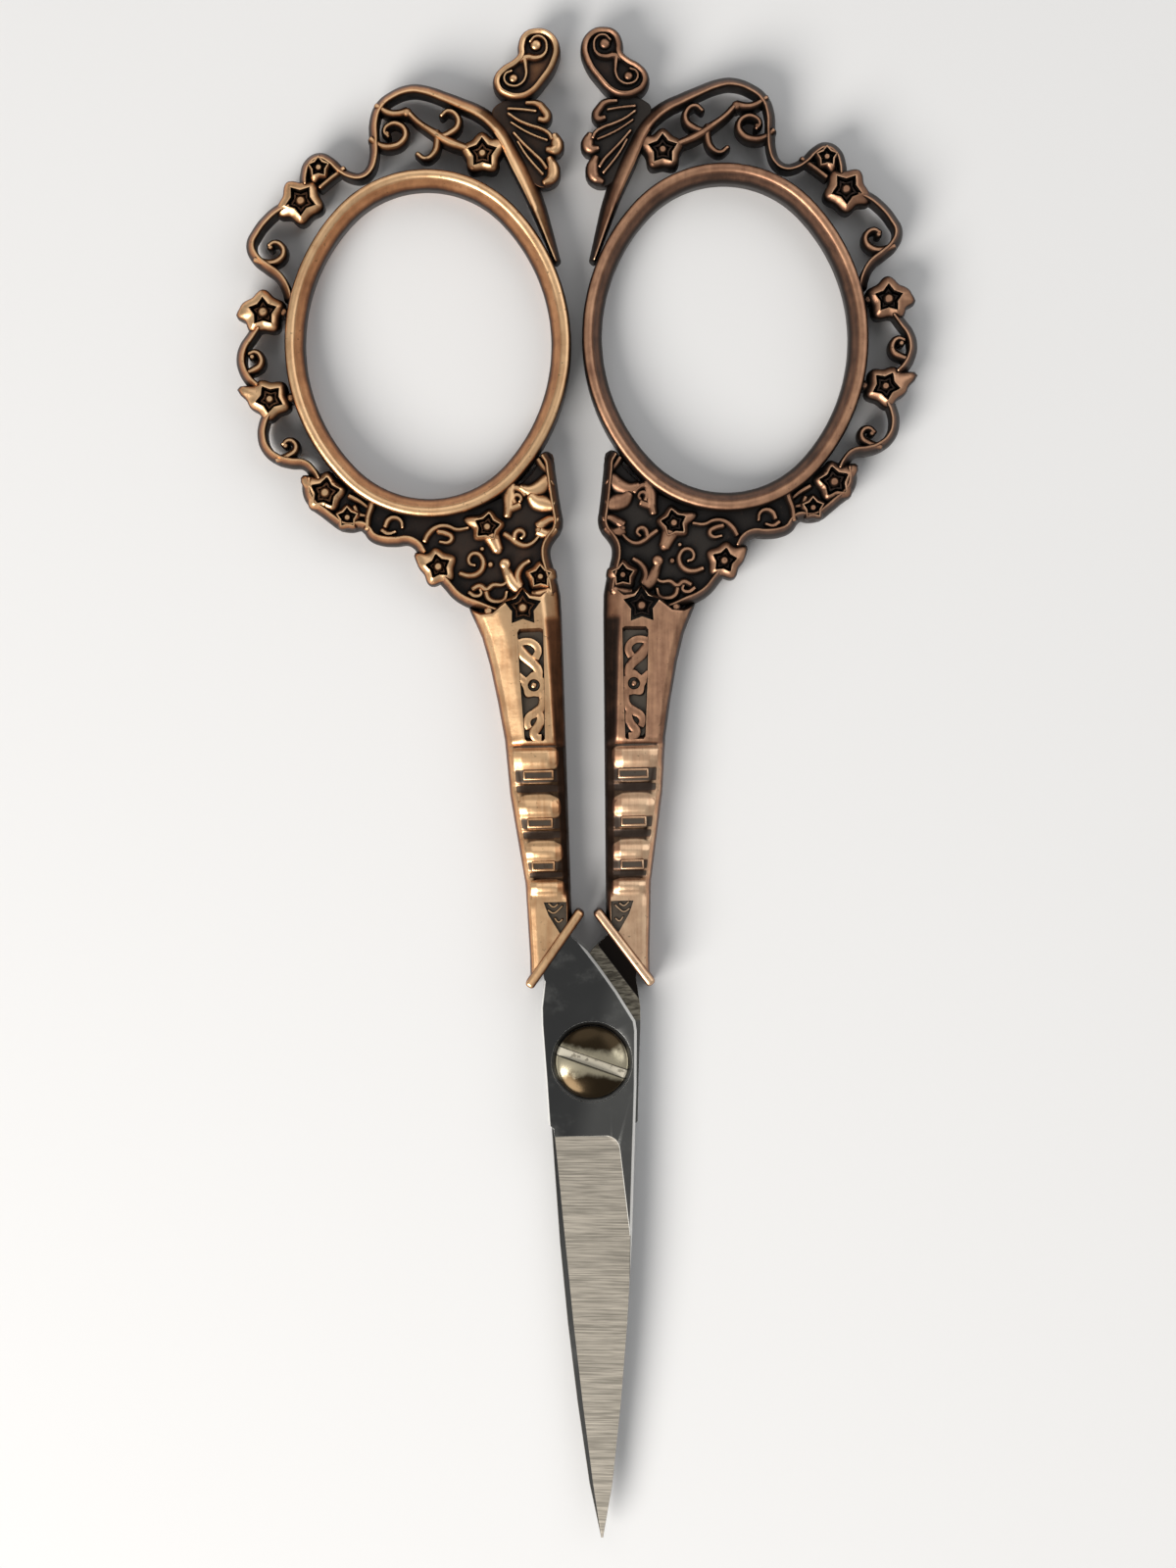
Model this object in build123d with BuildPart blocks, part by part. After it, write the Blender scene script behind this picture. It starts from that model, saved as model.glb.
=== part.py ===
from build123d import *
from math import cos, radians, sin
import os

# Ornate embroidery scissors, closed and lying flat on a table.
# +Z is up off the table, +Y runs from the points to the finger bows, +X is to the right.
# The origin is under the middle of the whole length, on the table. All lengths are millimetres.
# The two halves are alike: the second half is the first one turned over about the long axis.

# Blades, measured from the screw's centre
blade_reach = 39.5
blade_half_width = 4.1
blade_thickness = 1.5
running_gap = 0.04
edge_thickness = 0.12
edge_chamfer = 0.22
grind_start = 6.1
grind_inset = 1.45
grind_corner = 1.2

# Blade outline, as shares of the half width and of the reach
spine_shares = (
    (0.915, 0.063), (0.885, -0.051), (0.820, -0.190), (0.725, -0.380),
    (0.600, -0.549), (0.437, -0.716), (0.232, -0.886), (0.020, -1.0),
)
cutting_edge_shares = (
    (-0.020, -1.0), (-0.165, -0.886), (-0.340, -0.716), (-0.490, -0.549), (-0.625, -0.380), (-0.800, -0.139),
)
ricasso_shares = (
    (-0.900, -0.129), (-0.940, -0.033), (-1.0, 0.082), (-1.0, 0.114), (-0.925, 0.172),
)
shoulder_shares = ((-0.365, 0.263), (-0.050, 0.233), (0.183, 0.200), (0.537, 0.146), (0.890, 0.084))

# Tang, the part of the blade that is cast into the handle
tang_root_width = 3.0
tang_end_width = 1.5
tang_length = 18.5
tang_side_gap = 0.75
tang_key_length = 3.2
tang_key_width = 0.6

# Pivot screw
screw_radius = 1.6
screw_clearance = 0.05
screw_head_radius = 3.0
screw_rim_height = 0.45
screw_dome_height = 0.75
recess_radius = 3.35
recess_depth = 0.35
slot_width = 0.78
slot_depth = 0.5
slot_angle = -20.5

# Handle casting
handle_depth = 4.4
collar_length = 7.66
collar_width = 0.8
collar_angle = 54
collar_middle_x = 2.85
collar_middle_y = 9.4
collar_round = 0.35
shank_root_y = 36.9
shank_root_width = 7.3
shank_end_y = 5.0
shank_side = 1.72
shank_taper = 0.35
shank_facet = 1.05
inner_facet_share = 1.4
outer_facet_share = 2.0
shank_edge_share = 0.4
groove_sink = 0.5
cut_overrun = 1.0

# Finger bow
bow_width = 23.65
bow_height = 28.8
bow_tube_width = 1.65
bow_gap = 0.9
bow_land_width = 0.8
bow_slope_drop = 1.25
bow_end_radius = 9.3
bow_seat_share = 0.785

# Filigree round the bow: half depths about the middle of the handle, and widths in plan
floor_half_depth = 1.0
scroll_half_depth = 1.5
rail_half_depth = 1.8
finial_half_depth = 1.95
rail_width = 0.62
scroll_width = 0.42
finial_rim_width = 0.62
finial_sink = 0.7
blossom_radius = 2.0
blossom_half_depth = 1.8
blossom_sink = 0.6
petal_count = 5
star_share = 0.62
star_waist_share = 0.33
bead_share = 0.24
petal_swell_share = 0.12
sides_per_petal = 3
sides_per_point = 1.35
bead_sides = 6

# Filigree drawing, as shares of the bow's width and height about the bow's middle
arch_rail_shares = (
    (0.230, 0.650), (0.151, 0.684), (0.062, 0.719), (-0.043, 0.738), (-0.132, 0.716), (-0.186, 0.656),
    (-0.189, 0.580), (-0.196, 0.524), (-0.229, 0.495), (-0.280, 0.507), (-0.327, 0.530), (-0.377, 0.530),
    (-0.415, 0.495),
)
arch_branch_shares = ((-0.280, 0.507), (-0.318, 0.486), (-0.372, 0.445))
arch_leaf_shares = ((-0.165, 0.695), (-0.128, 0.668), (-0.086, 0.663), (-0.031, 0.649))
arch_twig_shares = ((-0.045, 0.652), (0.033, 0.608), (0.130, 0.560))
stem_shares = (
    (0.200, 0.665), (0.270, 0.569), (0.341, 0.444), (0.396, 0.337), (0.437, 0.240),
    (0.458, 0.247), (0.451, 0.281), (0.409, 0.392), (0.371, 0.483), (0.325, 0.580), (0.312, 0.690),
)
border_rail_shares = (
    ((-0.449, 0.441), (-0.521, 0.406), (-0.585, 0.358), (-0.618, 0.309), (-0.605, 0.260), (-0.555, 0.222),
     (-0.513, 0.191), (-0.468, 0.150)),
    ((-0.590, 0.056), (-0.634, 0.010), (-0.650, -0.031), (-0.636, -0.080), (-0.590, -0.125)),
    ((-0.566, -0.205), (-0.579, -0.250), (-0.555, -0.295), (-0.508, -0.321), (-0.449, -0.333),
     (-0.400, -0.362)),
    ((-0.425, -0.413), (-0.394, -0.455), (-0.344, -0.490), (-0.276, -0.510), (-0.229, -0.520),
     (-0.200, -0.546), (-0.141, -0.560), (-0.077, -0.560), (-0.026, -0.585)),
    ((-0.183, -0.427), (-0.212, -0.469), (-0.229, -0.517)),
    ((0.037, -0.665), (0.062, -0.695), (0.092, -0.722), (0.147, -0.745), (0.215, -0.764),
     (0.257, -0.785)),
    ((0.410, -0.323), (0.419, -0.378), (0.417, -0.448), (0.440, -0.517), (0.421, -0.566),
     (0.387, -0.601), (0.404, -0.656), (0.417, -0.726), (0.423, -0.795)),
)
scroll_shares = (
    ((-0.187, 0.590), (-0.138, 0.571), (-0.098, 0.569), (-0.064, 0.590), (-0.068, 0.615), (-0.094, 0.634),
     (-0.128, 0.628), (-0.141, 0.608)),
    ((0.058, 0.590), (0.096, 0.604), (0.122, 0.625), (0.117, 0.653), (0.088, 0.667), (0.067, 0.653)),
    ((0.041, 0.601), (0.045, 0.569), (0.033, 0.542), (0.003, 0.531), (-0.022, 0.545)),
    ((-0.595, 0.243), (-0.538, 0.240), (-0.504, 0.257), (-0.496, 0.278), (-0.513, 0.295),
     (-0.542, 0.295)),
    ((-0.650, -0.073), (-0.606, -0.063), (-0.580, -0.045), (-0.585, -0.021), (-0.610, -0.010),
     (-0.627, -0.017)),
    ((-0.530, -0.325), (-0.487, -0.309), (-0.466, -0.292), (-0.470, -0.274), (-0.496, -0.267),
     (-0.513, -0.281)),
    ((-0.026, -0.566), (0.003, -0.531), (0.050, -0.521), (0.084, -0.535), (0.130, -0.531)),
    ((0.007, -0.576), (0.029, -0.576), (0.054, -0.563), (0.050, -0.542), (0.024, -0.545)),
    ((0.096, -0.661), (0.130, -0.670), (0.166, -0.656), (0.177, -0.632), (0.160, -0.608),
     (0.130, -0.615)),
    ((0.134, -0.701), (0.181, -0.703), (0.227, -0.698), (0.265, -0.726)),
    ((0.260, -0.424), (0.303, -0.417), (0.333, -0.431), (0.350, -0.465), (0.388, -0.476),
     (0.430, -0.490)),
    ((0.261, -0.556), (0.295, -0.580), (0.333, -0.587), (0.367, -0.573), (0.388, -0.549)),
)
floor_shares = (
    (-0.420, -0.372), (-0.424, -0.417), (-0.382, -0.469), (-0.310, -0.510), (-0.238, -0.524),
    (-0.204, -0.556), (-0.124, -0.569), (-0.039, -0.583), (-0.014, -0.642), (0.045, -0.691),
    (0.100, -0.736), (0.155, -0.760), (0.164, -0.830), (0.420, -0.830), (0.430, -0.740),
    (0.412, -0.656), (0.392, -0.604), (0.430, -0.563), (0.445, -0.524), (0.424, -0.455),
    (0.424, -0.385), (0.412, -0.316), (0.333, -0.226), (-0.001, -0.122), (-0.327, -0.226),
)
bead_spot_shares = (
    (0.253, -0.632, 0.22), (0.272, -0.667, 0.18), (-0.136, -0.510, 0.26), (0.316, -0.556, 0.16),
)

# Shell and double-scroll finial, in the same shares
shell_shares = (
    (0.295, 0.691), (0.354, 0.702), (0.409, 0.677), (0.443, 0.646), (0.422, 0.618), (0.464, 0.587),
    (0.474, 0.552), (0.447, 0.528), (0.468, 0.490), (0.457, 0.455), (0.413, 0.441), (0.379, 0.455),
    (0.354, 0.524), (0.300, 0.601),
)
shell_ridge_shares = (
    ((0.310, 0.668), (0.350, 0.664), (0.390, 0.655)),
    ((0.310, 0.650), (0.375, 0.618), (0.443, 0.594)),
    ((0.320, 0.594), (0.375, 0.552), (0.426, 0.507)),
)
kidney_shares = (
    (0.371, 0.710), (0.420, 0.750), (0.458, 0.802), (0.466, 0.845), (0.441, 0.880), (0.401, 0.886),
    (0.371, 0.868), (0.363, 0.837), (0.352, 0.807), (0.310, 0.783), (0.272, 0.764), (0.263, 0.738),
    (0.286, 0.712), (0.331, 0.700),
)
kidney_scroll_shares = (
    ((0.350, 0.806), (0.397, 0.810), (0.432, 0.827), (0.434, 0.853), (0.405, 0.872), (0.380, 0.858),
     (0.394, 0.842)),
    ((0.357, 0.806), (0.358, 0.774), (0.345, 0.748), (0.315, 0.736), (0.290, 0.748), (0.296, 0.769),
     (0.322, 0.764)),
)

# Blossoms: place, size as a share of the blossom radius, and how far the star is turned
blossoms = (
    (0.204, 0.542, 0.95, 90), (-0.367, 0.510, 0.62, 90), (-0.432, 0.417, 1.0, 54),
    (-0.572, 0.101, 1.0, 90), (-0.555, -0.149, 1.0, 120), (-0.369, -0.420, 0.98, 80),
    (-0.293, -0.493, 0.62, 90), (0.020, -0.639, 0.82, 100), (0.193, -0.528, 0.85, 80),
    (0.375, -0.674, 0.72, 90), (0.314, -0.764, 1.05, 90),
)

# Shank outline stations: place along the shank, width and depth, as shares of length, root width and depth
shank_shares = (
    (1.000, 1.000, 1.00), (0.945, 0.925, 1.00), (0.870, 0.820, 1.00), (0.770, 0.735, 1.00),
    (0.668, 0.665, 1.00),
)
bead_top_shares = (0.655, 0.533, 0.414, 0.313)
bead_width_shares = (0.665, 0.614, 0.564, 0.521)
bead_length_share = 0.047
bead_edge_share = 0.016
groove_width_loss = 0.35
neck_shares = ((0.250, 0.520, 0.93), (0.000, 0.480, 0.93))

# Panel sunk in the flat of the shank, on both faces
panel_top_y = 35.9
panel_length = 9.6
panel_root_width = 2.9
panel_end_width = 1.7
panel_side = 3.1
panel_side_taper = 0.2
panel_sink = 0.4

# Places worked out from the sizes above
bow_x = -(bow_gap + bow_width) / 2
bow_y = shank_root_y + bow_height * bow_seat_share
kidney_top_share = max(y_share for x_share, y_share in kidney_shares)
finial_top_y = bow_y + bow_height * kidney_top_share + finial_rim_width / 2
pivot_y = (blade_reach - finial_top_y) / 2
middle_height = handle_depth / 2
front_bottom = middle_height + running_gap / 2
front_top = front_bottom + blade_thickness
middle_plane = Plane.XY.offset(middle_height)


def from_pivot(x, y):
    return (x, pivot_y + y)


def bow_point(x_share, y_share):
    return from_pivot(bow_x + x_share * bow_width, bow_y + y_share * bow_height)


def bow_points(shares):
    return [bow_point(x_share, y_share) for x_share, y_share in shares]


def blade_points(shares):
    return [from_pivot(x_share * blade_half_width, y_share * blade_reach) for x_share, y_share in shares]


def star_outline(radius, turn):
    points = []
    for step in range(2 * petal_count):
        reach = radius if step % 2 == 0 else radius * star_waist_share / star_share
        angle = radians(turn + step * 180 / petal_count)
        points.append((reach * cos(angle), reach * sin(angle)))
    return points


def petal_outline(radius, turn):
    # Five round lobes: the radius swells once for each petal
    points = []
    for step in range(sides_per_petal * petal_count):
        angle = radians(turn + step * 360 / (sides_per_petal * petal_count))
        swell = 1 + petal_swell_share * cos(petal_count * (angle - radians(turn)))
        reach = radius * swell / (1 + petal_swell_share)
        points.append((reach * cos(angle), reach * sin(angle)))
    return points


def along_curve(curve, sides):
    return [curve @ (side / sides) for side in range(sides)]


def closed_outline(points):
    # A smooth closed curve through the points, cut into short straight sides
    with BuildLine() as smooth:
        Spline(*points, periodic=True)
    return along_curve(smooth.wire(), round(sides_per_point * len(points)))


def stroke(points, width):
    # A band of even width along a smooth curve through the points, cut into short straight sides
    with BuildLine() as smooth:
        Spline(*points)
    curve = smooth.wire()
    sides = round(sides_per_point * (len(points) - 1))
    left = []
    right = []
    for side in range(sides + 1):
        place = curve @ (side / sides)
        heading = curve % (side / sides)
        across = Vector(-heading.Y, heading.X) * (width / 2)
        left.append(place + across)
        right.append(place - across)
    return Polygon(*left, *reversed(right), align=None, mode=Mode.PRIVATE)


# Collar plane: the slanting end of the handle, facing the blade
collar_direction = Vector(cos(radians(collar_angle)), sin(radians(collar_angle)), 0)
collar_inward = Vector(-sin(radians(collar_angle)), cos(radians(collar_angle)), 0)
collar_middle = Vector(*from_pivot(-collar_middle_x, collar_middle_y), middle_height)
collar_face = Plane(
    origin=collar_middle - collar_inward * (collar_width / 2), x_dir=collar_direction, z_dir=collar_inward
)


def tang_points():
    # Straight sides from the ricasso's two upper corners, narrowing into the shank
    left_x = -(shank_side + shank_root_width * neck_shares[0][1] - tang_side_gap)
    top = from_pivot(0, collar_middle_y + tang_length)[1]
    middle_x = -(shank_side + shank_root_width * shank_shares[-1][1] / 2)
    low = from_pivot(0, collar_middle_y + tang_side_gap)[1]
    high = from_pivot(0, collar_middle_y + tang_root_width)[1]
    return [
        (left_x, low),
        (middle_x - tang_end_width / 2, top),
        (middle_x + tang_end_width / 2, top),
        (left_x + tang_root_width - tang_side_gap / 2, high),
    ]


def blade_blank():
    """One blade lying over the middle plane, with its ground bevel and tang but no screw hole."""
    spine = blade_points(spine_shares)
    cutting_edge = blade_points(cutting_edge_shares)
    with BuildPart() as blank:
        with BuildSketch(Plane.XY.offset(front_bottom)):
            with BuildLine():
                Polyline(*spine, *cutting_edge, *blade_points(ricasso_shares), *tang_points(),
                         *blade_points(shoulder_shares), close=True)
            make_face()
        extrude(amount=blade_thickness)
        # Bright narrow chamfer along the outer edges that show
        top_edges = blank.faces().sort_by(Axis.Z)[-1].outer_wire().edges()
        showing = top_edges.filter_by(lambda e: e.center().Y < collar_middle.Y)
        chamfer(showing.filter_by(lambda e: e.center().X > 0), length=edge_chamfer)
        # Key slot through the tang, which the casting fills so that it can't pull out
        corners = tang_points()
        key_x = sum(x for x, y in corners) / len(corners)
        key_y = (corners[0][1] + corners[1][1]) / 2
        with Locations((key_x, key_y, (front_bottom + front_top) / 2)):
            Box(tang_key_width, tang_key_length, blade_thickness + cut_overrun, mode=Mode.SUBTRACT)
    # Ground bevel: a sloping plane from the ridge down to the cutting edge
    edge_start = cutting_edge[-1]
    edge_end = cutting_edge[0]
    along = (Vector(*edge_end, 0) - Vector(*edge_start, 0)).normalized()
    across = Vector(-along.Y, along.X, 0)
    ridge_x = blade_half_width - grind_inset
    ridge_point = Vector(*from_pivot(ridge_x, -grind_start - 2 * grind_corner), front_top)
    edge_point = Vector(*edge_start, front_bottom + edge_thickness)
    slope = (ridge_point - edge_point)
    normal = along.cross(slope).normalized()
    if normal.Z < 0:
        normal = normal * -1
    bevel_plane = Plane(origin=edge_point, x_dir=along, z_dir=normal)
    with BuildPart() as grinding:
        with BuildSketch(Plane.XY.offset(front_top + cut_overrun)):
            with BuildLine():
                top_y = from_pivot(0, -grind_start)[1]
                FilletPolyline(
                    (-blade_half_width * 2, from_pivot(0, -blade_reach * 2)[1]),
                    (-blade_half_width * 2, top_y),
                    (ridge_x - grind_corner / 2, top_y),
                    (ridge_x * 2, from_pivot(0, -blade_reach)[1]),
                    (ridge_x * 2, from_pivot(0, -blade_reach * 2)[1]),
                    close=True,
                    radius=grind_corner,
                )
            make_face()
        extrude(amount=-(blade_thickness + cut_overrun * 2))
        split(bisect_by=bevel_plane, keep=Keep.TOP)
    with BuildPart() as ground:
        add(blank.part)
        add(grinding.part, mode=Mode.SUBTRACT)
    return ground.part


def bow_section():
    # Seen along the tube: steep outside, flat land, long slope towards the finger
    half_tube = bow_tube_width / 2
    upper = [
        (half_tube, middle_height),
        (half_tube - bow_land_width, middle_height),
        (-half_tube, middle_height - bow_slope_drop),
    ]
    return upper + [(x, -z) for x, z in reversed(upper)]


def bow_path():
    # Oval of four tangent arcs through the middle of the tube
    half_long = (bow_height - bow_tube_width) / 2
    half_short = (bow_width - bow_tube_width) / 2
    end_offset = half_long - bow_end_radius
    squares = end_offset ** 2 + half_short ** 2 - bow_end_radius ** 2
    side_radius = squares / (2 * (half_short - bow_end_radius))
    side_offset = side_radius - half_short
    centre_x, centre_y = from_pivot(bow_x, bow_y)
    reach = side_radius / (side_radius - bow_end_radius)
    joint_x = side_offset * (reach - 1)
    joint_y = end_offset * reach
    with BuildLine(middle_plane) as oval:
        corners = [
            (centre_x + joint_x, centre_y + joint_y), (centre_x - joint_x, centre_y + joint_y),
            (centre_x - joint_x, centre_y - joint_y), (centre_x + joint_x, centre_y - joint_y),
        ]
        ThreePointArc(corners[0], (centre_x, centre_y + half_long), corners[1])
        ThreePointArc(corners[1], (centre_x - half_short, centre_y), corners[2])
        ThreePointArc(corners[2], (centre_x, centre_y - half_long), corners[3])
        ThreePointArc(corners[3], (centre_x + half_short, centre_y), corners[0])
    return oval.wire()


def shank_section(y_share, width_share, depth_share):
    # Eight-sided section: a flat panel on each face and a sloping facet on each side
    width = shank_root_width * width_share
    half = middle_height * depth_share
    inner = -shank_side + shank_taper * (1 - y_share)
    outer = inner - width
    facet = width * shank_facet / shank_root_width
    side = half * shank_edge_share
    y = pivot_y + shank_end_y + (shank_root_y - shank_end_y) * y_share
    with BuildSketch(Plane.XZ.offset(-y)) as section:
        with BuildLine():
            upper = [
                (inner, side),
                (inner - facet * inner_facet_share, half),
                (outer + facet * outer_facet_share, half),
                (outer, side),
            ]
            Polyline(*[(x, middle_height + z) for x, z in upper],
                     *[(x, middle_height - z) for x, z in reversed(upper)], close=True)
        make_face()
    return section.sketch


def shank_stations():
    # From the root down: the flared flat, four turned beads with grooves between them, and the neck
    groove_share = 1 - groove_sink / middle_height
    stations = list(shank_shares)
    for top_share, width_share in zip(bead_top_shares, bead_width_shares):
        low_share = top_share - bead_length_share
        narrow_share = width_share - groove_width_loss / shank_root_width
        stations.append((top_share, width_share, 1))
        stations.append((low_share, width_share, 1))
        stations.append((low_share - bead_edge_share, narrow_share, groove_share))
        if top_share != bead_top_shares[-1]:
            stations.append((low_share - bead_length_share, narrow_share, groove_share))
    return stations + list(neck_shares)


with BuildPart() as shank:
    # Turned shank, cut off square to the collar, and the collar's rim
    loft([shank_section(*station) for station in shank_stations()], ruled=True)
    split(bisect_by=collar_face, keep=Keep.TOP)
    with BuildSketch(collar_face):
        RectangleRounded(collar_length, handle_depth, collar_round)
    extrude(amount=collar_width)
    panel_top = from_pivot(0, panel_top_y)[1]
    panel_end_side = panel_side + panel_side_taper
    for side in (1, -1):
        with BuildSketch(middle_plane.offset(side * middle_height)):
            Polygon(
                (-panel_side, panel_top),
                (-panel_side - panel_root_width, panel_top),
                (-panel_end_side - panel_end_width, panel_top - panel_length),
                (-panel_end_side, panel_top - panel_length),
                align=None,
            )
        extrude(amount=-side * panel_sink, mode=Mode.SUBTRACT)

path = bow_path()
with BuildPart() as bow:
    with BuildSketch(Plane(origin=path @ 0, x_dir=Vector((path % 0).Y, -(path % 0).X, 0), z_dir=path % 0)):
        with BuildLine():
            Polyline(*bow_section(), close=True)
        make_face()
    sweep(path=path)

with BuildPart() as filigree_floor:
    # Recessed floor between the shank and the bow
    with BuildSketch(middle_plane):
        with BuildLine():
            Polyline(*bow_points(floor_shares), close=True)
        make_face()
        make_face(path.edges(), mode=Mode.SUBTRACT)
    extrude(amount=floor_half_depth, both=True)

with BuildPart() as scrolls:
    # Low scrolls, curls and beads
    with BuildSketch(middle_plane):
        for shares in scroll_shares:
            add(stroke(bow_points(shares), scroll_width))
        for x_share, y_share, size_share in bead_spot_shares:
            with Locations(bow_point(x_share, y_share)):
                RegularPolygon(blossom_radius * size_share, bead_sides)
    extrude(amount=scroll_half_depth, both=True)

with BuildPart() as rails:
    # Border rails, the arch, its stem and twig, and the blossoms
    with BuildSketch(middle_plane):
        arch_shares = (arch_rail_shares, arch_branch_shares, arch_leaf_shares, arch_twig_shares)
        for shares in border_rail_shares + arch_shares:
            add(stroke(bow_points(shares), rail_width))
        with BuildLine():
            Polyline(*bow_points(stem_shares), close=True)
        make_face()
        for x_share, y_share, size_share, turn in blossoms:
            radius = blossom_radius * size_share
            with Locations(bow_point(x_share, y_share)):
                Polygon(*petal_outline(radius, turn), align=None)
    extrude(amount=rail_half_depth, both=True)

with BuildPart() as shell:
    # Shell under the finial, with its ridges
    with BuildSketch(middle_plane):
        Polygon(*closed_outline(bow_points(shell_shares)), align=None)
    extrude(amount=scroll_half_depth, both=True)
    with BuildSketch(middle_plane):
        for shares in shell_ridge_shares:
            add(stroke(bow_points(shares), scroll_width))
    extrude(amount=rail_half_depth, both=True)

with BuildPart() as finial:
    # Double scroll: a kidney-shaped rim and two scrolls on a thinner floor
    kidney = closed_outline(bow_points(kidney_shares))
    with BuildSketch(middle_plane):
        Polygon(*kidney, align=None)
        offset(amount=finial_rim_width / 2, kind=Kind.INTERSECTION, mode=Mode.REPLACE)
    extrude(amount=finial_half_depth - finial_sink, both=True)
    with BuildSketch(middle_plane):
        Polygon(*kidney, align=None)
        offset(amount=finial_rim_width / 2, kind=Kind.INTERSECTION, mode=Mode.REPLACE)
        with BuildSketch(mode=Mode.SUBTRACT):
            Polygon(*kidney, align=None)
            offset(amount=-finial_rim_width / 2, kind=Kind.INTERSECTION, mode=Mode.REPLACE)
        for shares in kidney_scroll_shares:
            add(stroke(bow_points(shares), scroll_width))
    extrude(amount=finial_half_depth, both=True)

with BuildPart() as casting:
    for element in (shank, bow, filigree_floor, scrolls, rails, shell, finial):
        add(element.part)
    # Star recess round a bead in each blossom, on both faces
    for side in (1, -1):
        with BuildSketch(middle_plane.offset(side * blossom_half_depth)):
            for x_share, y_share, size_share, turn in blossoms:
                with Locations(bow_point(x_share, y_share)):
                    Polygon(*star_outline(blossom_radius * size_share * star_share, turn), align=None)
                    RegularPolygon(blossom_radius * size_share * bead_share, bead_sides, mode=Mode.SUBTRACT)
        extrude(amount=-side * blossom_sink, mode=Mode.SUBTRACT)

with BuildPart() as front_blade:
    add(blade_blank())
    with Locations((0, pivot_y, front_top)):
        CounterBoreHole(
            radius=screw_radius + screw_clearance,
            counter_bore_radius=recess_radius,
            counter_bore_depth=recess_depth,
        )
front_blade.part.label = "front_blade"

turned_over = Axis((0, pivot_y, middle_height), (0, 1, 0))
with BuildPart() as back_blade:
    add(blade_blank().rotate(turned_over, 180))
    with Locations((0, pivot_y, middle_height)):
        Hole(radius=screw_radius)
back_blade.part.label = "back_blade"

with BuildPart() as left_handle:
    add(casting.part)
    add(front_blade.part, mode=Mode.SUBTRACT)
left_handle.part.label = "left_handle"

with BuildPart() as right_handle:
    add(casting.part.rotate(turned_over, 180))
    add(back_blade.part, mode=Mode.SUBTRACT)
right_handle.part.label = "right_handle"

head_seat = front_top - recess_depth + running_gap
head_rim_top = head_seat + screw_rim_height
head_top = head_rim_top + screw_dome_height
screw_end = middle_height - running_gap / 2 - blade_thickness
with BuildPart() as pivot_screw:
    with BuildSketch(Plane.XZ.offset(-pivot_y)):
        with BuildLine():
            dome = [
                (screw_head_radius * sin(radians(angle)),
                 head_rim_top + screw_dome_height * cos(radians(angle)))
                for angle in (0, 30, 60, 90)
            ]
            Polyline((0, screw_end), (screw_radius, screw_end), (screw_radius, head_seat),
                     (screw_head_radius, head_seat), *reversed(dome), close=True)
        make_face()
    revolve(axis=Axis((0, pivot_y, 0), (0, 0, 1)))
    with Locations(Location((0, pivot_y, head_top), (0, 0, slot_angle))):
        Box(screw_head_radius * 3, slot_width, slot_depth * 2, mode=Mode.SUBTRACT)
pivot_screw.part.label = "pivot_screw"

os.makedirs("parts", exist_ok=True)
for piece in (front_blade, back_blade, left_handle, right_handle, pivot_screw):
    export_step(piece.part, f"parts/{piece.part.label}.step")
    print(piece.part.label, len(piece.part.solids()), round(piece.part.volume, 2))
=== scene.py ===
# %% [markdown]
# # Embroidery scissors with openwork handles
#
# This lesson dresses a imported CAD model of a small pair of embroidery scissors: slim steel blades,
# a slotted screw, and two cast handles in antique copper with blossoms, scrolls and finger bows.
# The CAD model is the fixed frame. Each handle, blade and screw gets a finer mesh in the same place,
# and every surface gets a material that is worked out from formulas, with no image.

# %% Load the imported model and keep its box
import math
from contextlib import contextmanager

import bpy
import numpy as np
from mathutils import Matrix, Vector


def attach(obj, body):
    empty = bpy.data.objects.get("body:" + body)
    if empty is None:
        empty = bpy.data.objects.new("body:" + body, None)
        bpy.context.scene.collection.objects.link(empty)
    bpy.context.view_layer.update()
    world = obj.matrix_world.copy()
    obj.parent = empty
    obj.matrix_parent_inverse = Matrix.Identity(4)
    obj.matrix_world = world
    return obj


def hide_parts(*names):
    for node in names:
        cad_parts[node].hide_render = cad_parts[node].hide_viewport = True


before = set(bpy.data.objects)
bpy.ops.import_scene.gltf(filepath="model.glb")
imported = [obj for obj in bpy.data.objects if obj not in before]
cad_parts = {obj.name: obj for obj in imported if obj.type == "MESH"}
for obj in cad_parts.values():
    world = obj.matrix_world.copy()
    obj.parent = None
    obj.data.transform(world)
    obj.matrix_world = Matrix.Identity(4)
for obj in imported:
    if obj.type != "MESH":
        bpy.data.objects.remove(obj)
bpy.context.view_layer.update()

# %% [markdown]
# ## Where things are
#
# Everything that follows is written in millimetres from the screw's centre, because that is how the
# real scissors are measured. `place` turns such a point into the frame's metres. Heights are counted
# from the handles' middle plane, because each casting is the same on both faces.

# %% Millimetres, the screw's place and the middle plane
MM = 0.001
SCREW_Y = -22.9174
MIDDLE = 2.2


def place(x, y, height=0.0):
    return Vector((x * MM, (SCREW_Y + y) * MM, (MIDDLE + height) * MM))


def only(piece):
    bpy.ops.object.select_all(action="DESELECT")
    piece.select_set(True)
    bpy.context.view_layer.objects.active = piece


def linked(piece):
    bpy.context.scene.collection.objects.link(piece)
    return piece


@contextmanager
def editing(piece):
    """Edit mode for one piece, as long as the block runs."""
    only(piece)
    bpy.ops.object.mode_set(mode="EDIT")
    yield
    bpy.ops.object.mode_set(mode="OBJECT")


def finished(piece, kind, **settings):
    """Adds one modifier and applies it, as the Apply button would."""
    only(piece)
    modifier = piece.modifiers.new(kind, kind)
    for name, value in settings.items():
        setattr(modifier, name, value)
    bpy.ops.object.modifier_apply(modifier=modifier.name)
    return piece


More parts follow.
